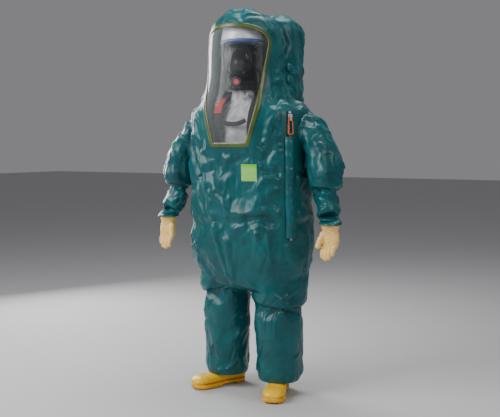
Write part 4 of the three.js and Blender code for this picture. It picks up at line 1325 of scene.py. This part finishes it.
# ---- Pieces repeated along a line ----
def pieces_on_points(name, points, along, out, size, material):
    """One rounded block at each point, its length along the line and its height outwards."""
    base = object_from(name, points, [])
    for key, values in (("along", along), ("out", out)):
        attribute = base.data.attributes.new(key, "FLOAT_VECTOR", "POINT")
        attribute.data.foreach_set("vector", np.asarray(values, float).ravel())
    tree = bpy.data.node_groups.new(f"{name} blocks", "GeometryNodeTree")
    tree.interface.new_socket("Points", in_out="INPUT", socket_type="NodeSocketGeometry")
    size_socket = tree.interface.new_socket("Block size", in_out="INPUT", socket_type="NodeSocketVector")
    look_socket = tree.interface.new_socket("Material", in_out="INPUT", socket_type="NodeSocketMaterial")
    tree.interface.new_socket("Blocks", in_out="OUTPUT", socket_type="NodeSocketGeometry")
    start = tree.nodes.new("NodeGroupInput")
    start.label = "points and sizes"
    end = tree.nodes.new("NodeGroupOutput")
    end.label = "finished blocks"
    along_node = tree.nodes.new("GeometryNodeInputNamedAttribute")
    along_node.label = "the way the line runs"
    along_node.data_type = "FLOAT_VECTOR"
    along_node.inputs["Name"].default_value = "along"
    out_node = tree.nodes.new("GeometryNodeInputNamedAttribute")
    out_node.label = "outwards"
    out_node.data_type = "FLOAT_VECTOR"
    out_node.inputs["Name"].default_value = "out"
    turn = tree.nodes.new("FunctionNodeAxesToRotation")
    turn.label = "height outwards, length along"
    turn.primary_axis, turn.secondary_axis = "Z", "X"
    block = tree.nodes.new("GeometryNodeMeshCube")
    block.label = "one block"
    rounder = tree.nodes.new("GeometryNodeSubdivisionSurface")
    rounder.label = "rounded edges"
    rounder.inputs["Edge Crease"].default_value = 0.55
    rounder.inputs["Level"].default_value = 1
    spots = tree.nodes.new("GeometryNodeMeshToPoints")
    spots.label = "one spot for each"
    copies = tree.nodes.new("GeometryNodeInstanceOnPoints")
    copies.label = "a block on each spot"
    real = tree.nodes.new("GeometryNodeRealizeInstances")
    real.label = "one mesh"
    look = tree.nodes.new("GeometryNodeSetMaterial")
    look.label = "finish"
    in_order = (start, along_node, out_node, turn, block, rounder, spots, copies, real, look, end)
    for column, node in enumerate(in_order):
        node.location = (column * 190, -(column % 3) * 160)
    tree.links.new(start.outputs["Points"], spots.inputs["Mesh"])
    tree.links.new(start.outputs["Block size"], block.inputs["Size"])
    tree.links.new(block.outputs["Mesh"], rounder.inputs["Mesh"])
    tree.links.new(out_node.outputs["Attribute"], turn.inputs["Primary Axis"])
    tree.links.new(along_node.outputs["Attribute"], turn.inputs["Secondary Axis"])
    tree.links.new(spots.outputs["Points"], copies.inputs["Points"])
    tree.links.new(rounder.outputs["Mesh"], copies.inputs["Instance"])
    tree.links.new(turn.outputs["Rotation"], copies.inputs["Rotation"])
    tree.links.new(copies.outputs["Instances"], real.inputs["Geometry"])
    tree.links.new(real.outputs["Geometry"], look.inputs["Geometry"])
    tree.links.new(start.outputs["Material"], look.inputs["Material"])
    tree.links.new(look.outputs["Geometry"], end.inputs["Blocks"])
    m = base.modifiers.new("blocks", "NODES")
    m.node_group = tree
    m[size_socket.identifier] = size
    m[look_socket.identifier] = material
    apply_modifiers(base)
    return smooth_shaded(base)


def zip_teeth(pitch=0.0034, aside=0.0013):
    """The zip's teeth, set a little to the left and to the right by turns."""
    chain = frame["nodes"]["zip_chain"]
    co = np.array([chain.matrix_world @ v.co for v in chain.data.vertices])
    z = co[:, 2]
    low, high = co[z < z.min() + 0.012].mean(0), co[z > z.max() - 0.012].mean(0)
    up = (high - low) / np.linalg.norm(high - low)
    across = -np.array(JOINTS["puller_swing"]["axis"])
    across -= up * (across @ up)
    across /= np.linalg.norm(across)
    out = -np.cross(up, across)
    count = int(np.linalg.norm(high - low) / pitch)
    spots = [low + up * (pitch * (k + 0.5)) + across * (aside if k % 2 else -aside) for k in range(count)]
    size = (0.0050, 0.0024, 0.0026)
    teeth = pieces_on_points("zip_teeth", spots, [across] * count, [out] * count, size, STEEL)
    ridden(teeth, "suit", "zip_metal", "zip_chain")


zip_teeth()


# ---- Gloves ----
def along_path(points, radii):
    """Round rings along a path."""
    points = [Vector(p) for p in points]
    side = Vector((1, 0, 0))
    rings = []
    for k, (p, r) in enumerate(zip(points, radii)):
        ahead = (points[min(k + 1, len(points) - 1)] - points[max(k - 1, 0)]).normalized()
        side = (side - ahead * side.dot(ahead)).normalized()
        rings.append((place(*p), side * (r / 1000), side.cross(ahead) * (r / 1000), 2.0))
    return rings


def finger(knuckle, tip, radius, curl):
    """A finger's rings from its knuckle to its round tip, bent forwards."""
    a, b = Vector(knuckle), Vector(tip)
    last = 8
    points, radii = [], []
    for k in range(last + 1):
        t = k / last
        bend = Vector((0, -curl * math.sin(t * math.pi * 0.9), 0))
        points.append(a.lerp(b, t) + bend)
        knuckles = 1 + 0.06 * math.cos(t * 4 * math.pi)
        radii.append(radius * (1.08 - 0.22 * t) * knuckles)
    for beyond, share in ((0.35, 0.92), (0.75, 0.66), (0.98, 0.22)):
        points.append(points[last] + (b - a).normalized() * radius * 0.8 * beyond)
        radii.append(radii[last] * share)
    return along_path(points, radii)


GLOVE_DROP = 0.006  # from the wrist's axis to the height that the glove's rings are measured from


def glove(side):
    """A dipped glove, relaxed, with its fingers together and the thumb forward."""
    palm = [
        level(-100, 38, 14, -7, 2.5), level(-86, 43, 17, -6, 2.5), level(-60, 45, 20, -3, 2.4),
        level(-36, 42, 24, 0, 2.3), level(-18, 37, 30, 0, 2), level(-10, 39, 33, 0, 2),
        level(-3, 41, 35, 0, 2), level(8, 41, 35, 0, 2),
    ]
    fingers = [
        finger((-29, -6, -88), (-25, -26, -140), 11.4, 7), finger((-10, -6, -92), (-8, -30, -148), 11.8, 9),
        finger((10, -6, -90), (9, -30, -143), 11.4, 10), finger((29, -5, -84), (25, -25, -126), 10.2, 9),
        finger((-30, -8, -34), (-46, -34, -92), 13.5, 5),
    ]
    hand = joined(f"glove_skin_{side}", [loft(palm, 48, 6), *[loft(f, 20, 2) for f in fingers]])
    remeshed(hand, 0.0024, 6)
    wrist = joint_place(f"wrist_{side}")
    co = points_of(hand)
    co[:, 1] -= MIDDLE_Y
    if side == "right":
        co[:, 0] *= -1
    co += np.array([wrist.x, wrist.y, wrist.z - GLOVE_DROP])
    set_points(hand, co)
    tidy_normals(hand)
    rng = np.random.default_rng(SEED)
    no = normals_of(hand)
    palm_part = smoothstep(-0.1, -0.07, co[:, 2] - wrist.z)
    crinkle = slow_waves(co * (1, 1, 2), rng, 0.012, 0.03, 1, 10) * 0.0005 * palm_part
    set_points(hand, co + no * crinkle[:, None])
    opened = part_of(hand, f"glove_skin_{side}_open", face_centres(hand)[:, 2] < wrist.z + 0.0012)
    bpy.data.objects.remove(hand)
    opened.name = f"latex_glove_{side}"
    solidified(opened, 0.0014)
    ridden(smooth_shaded(dressed(opened, GLOVE)), f"hand_{side}", "glove_latex", f"glove_{side}")


# ---- Boots ----
TOE_OUT = {"left": math.radians(17), "right": math.radians(28)}
FOOT_AT = (0.145, 0.015)  # beside the middle, and behind the shoulders' axis


def stood(obj, side):
    """Puts a boot's piece, made at the origin, under its leg."""
    co = points_of(obj)
    x, y = co[:, 0].copy(), co[:, 1] - MIDDLE_Y
    turn = TOE_OUT[side]
    co[:, 0] = FOOT_AT[0] + x * math.cos(turn) - y * math.sin(turn)
    co[:, 1] = FOOT_AT[1] + x * math.sin(turn) + y * math.cos(turn) + MIDDLE_Y
    if side == "right":
        co[:, 0] *= -1
    set_points(obj, co)
    if side == "right":
        obj.data.flip_normals()
    return obj


def across_foot(y, half_width, bottom, top, squareness=2.4):
    """A ring across the foot."""
    middle = place(0, y, (bottom + top) / 2)
    return (middle, Vector((half_width, 0, 0)) / 1000, Vector((0, 0, (top - bottom) / 2)) / 1000, squareness)


def boot(side):
    """A moulded boot with creases across the instep, open at the top."""
    foot = [
        across_foot(86, 16, 34, 62), across_foot(80, 28, 24, 78), across_foot(62, 37, 22, 104),
        across_foot(20, 40, 22, 112), across_foot(-24, 41, 22, 112), across_foot(-56, 43, 22, 92),
        across_foot(-86, 46, 22, 74), across_foot(-120, 50, 22, 66), across_foot(-152, 51, 22, 64),
        across_foot(-180, 47, 22, 60), across_foot(-198, 36, 23, 52), across_foot(-207, 20, 25, 43),
    ]
    shaft = [
        level(50, 36, 48, 26, 2.2), level(84, 41, 52, 22, 2.1), level(120, 45, 53, 16, 2.1),
        level(180, 50, 56, 6), level(330, 60, 64, 2),
    ]
    skin = joined(f"boot_skin_{side}", [loft(foot, 48, 5), loft(shaft, 48, 8)])
    remeshed(skin, 0.0036, 9)
    co, no = points_of(skin), normals_of(skin)
    y, z = co[:, 1] - MIDDLE_Y, co[:, 2]
    instep = bump_at(y, -0.062, 0.03) * smoothstep(0.05, 0.09, z)
    creases = np.abs((y * 62 + 0.25 * np.sin(co[:, 0] * 60)) % 1 - 0.5) * 2
    foxing = smoothstep(-0.005, 0.0, 0.0392 - z) * smoothstep(0.024, 0.028, z)
    toe_cap = smoothstep(-0.004, 0.002, -0.150 - y)
    lift = instep * creases * 0.0026
    lift += 0.0016 * foxing
    lift += 0.0012 * toe_cap
    set_points(skin, co + no * lift[:, None])
    stood(skin, side)
    opened = part_of(skin, f"rubber_boot_{side}", face_centres(skin)[:, 2] < 0.325)
    bpy.data.objects.remove(skin)
    solidified(opened, 0.0022)
    ridden(smooth_shaded(dressed(opened, BOOT)), f"shin_{side}", "boot_rubber", f"boot_{side}")


def sole_outline(steps=72):
    """Half widths of the sole along the foot."""
    stations = [
        (-212, 2), (-209, 22), (-198, 40), (-176, 51), (-140, 54), (-100, 49), (-60, 41), (-20, 38), (30, 37),
        (60, 36), (78, 27), (85, 12), (87, 2),
    ]
    along, half = zip(*stations)
    y = np.linspace(along[0], along[-1], steps)
    return y, np.interp(y, along, half)


def sole(side):
    """A ribbed sole with an arch and a heel, and its tread."""
    ys, half = sole_outline()
    rings = [across_foot(float(y), float(w), 0.6, 24, 7) for y, w in zip(ys, half)]
    slab = joined(f"sole_slab_{side}", [loft(rings, 56, 1)])
    remeshed(slab, 0.003, 3)
    co = points_of(slab)
    x, y, z = co[:, 0], co[:, 1] - MIDDLE_Y, co[:, 2]
    arch = smoothstep(-0.068, -0.056, y) * (1 - smoothstep(0.014, 0.026, y))
    toe_lift = 0.004 * smoothstep(0.15, 0.212, -y)
    z = np.where(z < 0.012, np.maximum(z, 0) + arch * 0.008 * (1 - z / 0.012), z) + toe_lift
    rib = np.abs((np.arctan2(x, y + 0.06) * 36) % 1 - 0.5) * 2
    side_wall = (z > 0.006) & (z < 0.019)
    co[:, 0] -= np.sign(x) * rib * side_wall * 0.0005
    co[:, 2] = z + 0.0042 * (1 - z / 0.03)
    set_points(slab, co)
    stood(slab, side)
    ridden(smooth_shaded(dressed(slab, SOLE)), f"shin_{side}", "sole_rubber", f"sole_{side}")
    tread(side, ys, half)


def tread(side, ys, half):
    """Rows of lugs under the sole, none below the arch."""
    pitch, margin, arch = 11, 9, (-62, 22)
    lugs = []
    for y in range(-196, 80, pitch):
        if arch[0] < y < arch[1]:
            continue
        width = float(np.interp(y, ys, half)) - margin
        gaps = max(2, int(width * 2 // 15))
        for i in range(gaps + 1):
            lugs.append(place(-width + 2 * width * i / gaps, y, 2.4 + 4 * max(0, (-y - 150) / 62)))
    spots = stood(object_from("lug_places", lugs, []), side)
    points = points_of(spots)
    bpy.data.objects.remove(spots)
    turn = TOE_OUT[side] * (1 if side == "left" else -1)
    across = [(math.cos(turn), math.sin(turn), 0)] * len(points)
    down = [(0, 0, -1)] * len(points)
    lug_size = (0.011, 0.0074, 0.0042)
    blocks = pieces_on_points(f"sole_tread_{side}", points, across, down, lug_size, SOLE)
    ridden(blocks, f"shin_{side}", "sole_rubber")


for side, _ in SIDES:
    glove(side)
    boot(side)
    sole(side)


# ---- Helmet, mask and liner, seen through the window ----
HEAD_TURN = math.radians(12)  # towards the wearer's left
HEAD_Y = -0.072  # the head's middle, ahead of the shoulders' axis


def shell(name, rings, tip=False, sides=72, steps=6, smoothing=6):
    """A sheet round rings, smoothed. It is open at both ends, or closed over the last ring by a tip."""
    vertices, faces = loft(rings, sides, steps)
    round_the_rings, last_face = faces[:-2], faces[-1]
    obj = object_from(name, vertices, [*round_the_rings, last_face] if tip else round_the_rings)
    facing(obj, away_from(np.mean([tuple(r[0]) for r in rings], axis=0)))
    return evened(obj, smoothing)


def on_head(obj):
    """Turns and moves a piece made upright over the middle to where the head is."""
    co = points_of(obj)
    x, y = co[:, 0].copy(), co[:, 1] - MIDDLE_Y
    co[:, 0] = x * math.cos(HEAD_TURN) - y * math.sin(HEAD_TURN)
    co[:, 1] = HEAD_Y + x * math.sin(HEAD_TURN) + y * math.cos(HEAD_TURN) + MIDDLE_Y
    set_points(obj, co)
    return obj


def head_piece(name, rings, wall, material, slot, node, tip=False, smoothing=6):
    piece = shell(name, rings, tip, smoothing=smoothing)
    solidified(piece, wall)
    on_head(smooth_shaded(dressed(piece, material)))
    return ridden(piece, "suit", slot, node)


def oval(y, half_width, half_height, z, squareness=2.2):
    """An upright ring that faces forwards."""
    across, down = Vector((half_width, 0, 0)) / 1000, Vector((0, 0, -half_height)) / 1000
    return (place(0, y, z), across, down, squareness)


def neck_curtain():
    """The knitted cloth that hangs round the head and neck, with a hole for the face."""
    curtain = shell("neck_curtain_cloth", [
        level(1462, 88, 92, 8), level(1490, 86, 90, 6), level(1560, 93, 100, 4), level(1640, 97, 109, 2),
        level(1676, 97, 110, 1),
    ], steps=14)
    x, y, z = face_centres(curtain).T
    face_hole = (y < MIDDLE_Y - 0.05) & (np.abs(x) < 0.075 + 0.02 * (1.676 - z) / 0.2) & (z > 1.50)
    hanging = part_of(curtain, "neck_curtain_knit", ~face_hole)
    bpy.data.objects.remove(curtain)
    co, no = points_of(hanging), normals_of(hanging)
    x, y, z = co.T
    angle = np.arctan2(x, -(y - MIDDLE_Y))
    drape = 0.0045 * np.sin(angle * 17 + 2 * np.sin(z * 30)) * smoothstep(1.67, 1.5, z)
    set_points(hanging, co + no * drape[:, None])
    solidified(hanging, 0.0022)
    on_head(smooth_shaded(dressed(hanging, BLACK_CLOTH)))
    ridden(hanging, "suit", "black_cloth", "neck_curtain")


head_piece("helmet_dome", [
    level(1690, 110, 132), level(1708, 109, 131), level(1730, 105, 126), level(1752, 96, 116),
    level(1772, 82, 99), level(1786, 64, 78), level(1796, 40, 48), level(1801, 16, 19),
], 0.003, WHITE, "helmet_white", "helmet_shell", tip=True)
head_piece("helmet_peak", [
    level(1672, 112, 150, -6, 2.1), level(1675, 114, 152, -6, 2.1), level(1680, 113, 148, -4, 2.1),
    level(1689, 109, 131, 0, 2.0),
], 0.004, BLUE, "trim_blue", "helmet_brim", smoothing=2)
neck_curtain()
head_piece("mask_body", [
    oval(-56, 77, 76, 1595), oval(-66, 78, 76, 1595), oval(-90, 75, 75, 1597), oval(-104, 70, 71, 1599),
    oval(-110, 67, 69, 1600),
], 0.0035, BLACK, "black_rubber", "mask_facepiece", smoothing=2)
head_piece("mask_window", [
    oval(-108.5, 66, 68, 1600), oval(-116, 63, 65, 1600), oval(-124, 56, 59, 1601), oval(-131, 44, 48, 1601),
    oval(-135.5, 28, 31, 1602), oval(-137, 12, 13, 1602),
], 0.002, LENS, "clear_sheet", "mask_lens", tip=True)
head_piece("mask_nose_piece", [
    oval(-62, 42, 47, 1568), oval(-80, 40, 44, 1569), oval(-98, 34, 38, 1572), oval(-110, 26, 29, 1575),
    oval(-118, 15, 17, 1578), oval(-121, 6, 7, 1579),
], 0.003, BLACK, "black_rubber", "mask_nose_cup", tip=True)


def turned_along_y(name, profile, z, material):
    """A round piece about a level axis from front to back. profile is a list of (y, radius)."""
    piece = joined(name, [loft([oval(y, r, r, z, 2.0) for y, r in profile], 56, 1)])
    return on_head(smooth_shaded(dressed(piece, material)))


def liner_vest():
    """The crumpled liner that shows below the mask."""
    vest = shell("liner_skin", [
        level(980, 200, 132, -12, 2.2), level(1250, 205, 140, -24, 2.2), level(1330, 196, 128, -24, 2.2),
        level(1388, 150, 98, -26, 2.1), level(1412, 94, 76, -40, 2), level(1440, 66, 66, -54, 2),
        level(1462, 60, 60, -60, 2),
    ], sides=260, steps=20, smoothing=10)
    rng = np.random.default_rng(SEED)
    everywhere = np.ones(len(points_of(vest)))
    shoulders = everywhere * (points_of(vest)[:, 2] > 1.32)
    add_folds(vest, rng, everywhere, 90, (0.1, 0, 1), 0.5, (0.06, 0.22), (0.008, 0.02), (0.002, 0.006))
    add_folds(vest, rng, shoulders, 70, (0.6, 0, 1), 0.8, (0.03, 0.1), (0.005, 0.012), (0.001, 0.004))
    crumpled(vest, rng, everywhere, [(0.06, 0.003), (0.03, 0.0012)])
    solidified(vest, 0.0014)
    ridden(smooth_shaded(dressed(vest, GREY)), "suit", "liner_grey", "liner_vest")


valve_body = turned_along_y("demand_valve_body", [
    (-78, 17), (-79, 19), (-99, 19), (-101, 24), (-103, 25), (-109, 25), (-110, 23.6), (-112, 23.6),
    (-113, 25), (-131, 25), (-134, 24), (-136, 21.5), (-136, 13.6), (-128.2, 13.4),
], 1494, BLACK)
ridden(valve_body, "suit", "black_rubber", "demand_valve")
valve_button = turned_along_y("demand_button_cap", [
    (-131.5, 12.6), (-135.6, 12.9), (-136.8, 12.2), (-137.2, 10.5), (-136.6, 8.6), (-136.5, 3),
], 1494, RED)
ridden(valve_button, "button", "signal_red", "demand_button")
liner_vest()


# ---- Harness ----
def smooth_path(points, count):
    """Evenly placed points on a smooth curve through the given ones."""
    given = [Vector(p) for p in points]
    p = [given[0] * 2 - given[1], *given, given[-1] * 2 - given[-2]]
    out = []
    for k in range(count):
        s = k / (count - 1) * (len(points) - 1)
        i = min(int(s), len(points) - 2)
        t = s - i
        a, b, c, d = p[i:i + 4]
        bend = (2 * a - 5 * b + 4 * c - d) * t * t
        twist = (3 * b - a - 3 * c + d) * t ** 3
        out.append(0.5 * ((2 * b) + (c - a) * t + bend + twist))
    return out


def strap(name, points, wide, half_thickness, material, count=60):
    """A flat strap with rounded edges. wide is half its width, and the way that runs."""
    path = smooth_path(points, count)
    rings = []
    for k, p in enumerate(path):
        ahead = (path[min(k + 1, count - 1)] - path[max(k - 1, 0)]).normalized()
        across = Vector(wide) - ahead * Vector(wide).dot(ahead)
        deep = across.normalized().cross(ahead)
        rings.append((place(*p), across / 1000, deep * (half_thickness / 1000), 5.0))
    return smooth_shaded(dressed(joined(name, [loft(rings, 24, 1)]), material))


def harness():
    """Two straps over the shoulders, one across the chest, and the red tab on the wearer's right."""
    over = [
        (88, 116, 1430), (90, 66, 1452), (92, -30, 1454), (92, -122, 1420), (92, -176, 1330),
        (92, -184, 1220), (94, -180, 1110),
    ]
    for side, sign in SIDES:
        line = [(sign * x, y, z) for x, y, z in over]
        shoulder = strap(f"harness_strap_{side}", line, (20, 0, 0), 1.5, WEBBING)
        ridden(shoulder, "suit", "black_webbing", f"shoulder_strap_{side}")
    line = [(-92, -128, 1422), (-92, -158, 1392), (-92, -178, 1352)]
    tab = strap("harness_red_tab", line, (21.5, 0, 0), 3.2, RED_WEBBING, 16)
    ridden(tab, "suit", "signal_red")
    line = [(-66, -184, 1318), (-35, -189, 1305), (0, -190, 1301), (35, -189, 1305), (66, -184, 1318)]
    breast = strap("harness_breast_strap", line, (0, 0, 11), 1.5, WEBBING, 40)
    ridden(breast, "suit", "black_webbing", "chest_strap")


harness()
bpy.data.objects.remove(cloth)

# ---- Pieces that keep their plain solids ----
FINISHES = {
    "back_plate": BLACK, "air_cylinder": BOTTLE, "cylinder_valve": BRASS, "valve_knob": RED,
    "cuff_ring_left": VALVE, "cuff_ring_right": VALVE,
    "zip_tape_front": TAPE_CLOTH, "zip_tape_side": TAPE_CLOTH,
    "zip_slider": STEEL, "zip_top_stop": STEEL, "zip_bottom_stop": STEEL,
}
for i in (1, 2, 3):
    FINISHES[f"valve_housing_{i}"] = VALVE
    FINISHES[f"valve_disc_{i}"] = BLACK
    FINISHES[f"valve_cap_{i}"] = VALVE
for node, material in FINISHES.items():
    dressed(frame["nodes"][node], material)


# ---- Room, light and camera ----
def room():
    """A pale floor and an even grey surround."""
    floor = object_from("floor", [(-25, -25, 0), (25, -25, 0), (25, 25, 0), (-25, 25, 0)], [(0, 1, 2, 3)])
    floor_material, nodes, links = new_material("pale_floor")
    out = nodes.new("ShaderNodeOutputMaterial")
    out.label = "floor"
    paint = nodes.new("ShaderNodeBsdfPrincipled")
    paint.label = "matt paint"
    paint.inputs["Base Color"].default_value = (0.5, 0.5, 0.51, 1)
    paint.inputs["Roughness"].default_value = 0.9
    links.new(paint.outputs["BSDF"], out.inputs["Surface"])
    laid_out([[paint], [out]])
    dressed(floor, floor_material)
    world = bpy.data.worlds.new("studio")
    bpy.context.scene.world = world
    world.use_nodes = True
    surround = world.node_tree.nodes["Background"]
    surround.inputs["Color"].default_value = (0.30, 0.30, 0.31, 1)
    surround.inputs["Strength"].default_value = 0.75


def softbox(name, at, aim, size, power):
    """A large square lamp, aimed at a point."""
    data = bpy.data.lights.new(name, "AREA")
    data.shape = "RECTANGLE"
    data.size, data.size_y = size
    data.energy = power
    lamp = bpy.data.objects.new(name, data)
    bpy.context.scene.collection.objects.link(lamp)
    lamp.location = at
    lamp.rotation_euler = (Vector(aim) - Vector(at)).to_track_quat("-Z", "Y").to_euler()


def studio():
    """Four softboxes, and a camera at chest height, ahead of the wearer's left side."""
    room()
    softbox("key", (-2.0, -2.8, 2.9), (0, 0, 1.1), (2.4, 2.6), 165)
    softbox("fill", (3.4, -2.0, 2.7), (0, 0, 1.5), (2.0, 1.8), 48)
    softbox("top", (0.3, 0.4, 3.6), (0, 0, 1.2), (1.8, 1.8), 60)
    softbox("left_edge", (-2.6, 1.1, 1.7), (0, 0, 1.1), (1.3, 2.2), 80)
    distance, height, aside = 3.9, 1.2, 0.0245
    pitch, azimuth = math.radians(4.5), math.radians(30)
    camera = bpy.data.objects.new("camera", bpy.data.cameras.new("camera"))
    bpy.context.scene.collection.objects.link(camera)
    sideways = Vector((math.cos(azimuth), math.sin(azimuth), 0))
    stand = Vector((math.sin(azimuth) * distance, -math.cos(azimuth) * distance, height))
    camera.location = stand - sideways * aside
    level_part, drop = math.cos(pitch), -math.sin(pitch)
    look = Vector((-math.sin(azimuth) * level_part, math.cos(azimuth) * level_part, drop))
    camera.rotation_euler = look.to_track_quat("-Z", "Y").to_euler()
    camera.data.sensor_width = 36
    camera.data.lens = 57.3
    bpy.context.scene.camera = camera


studio()
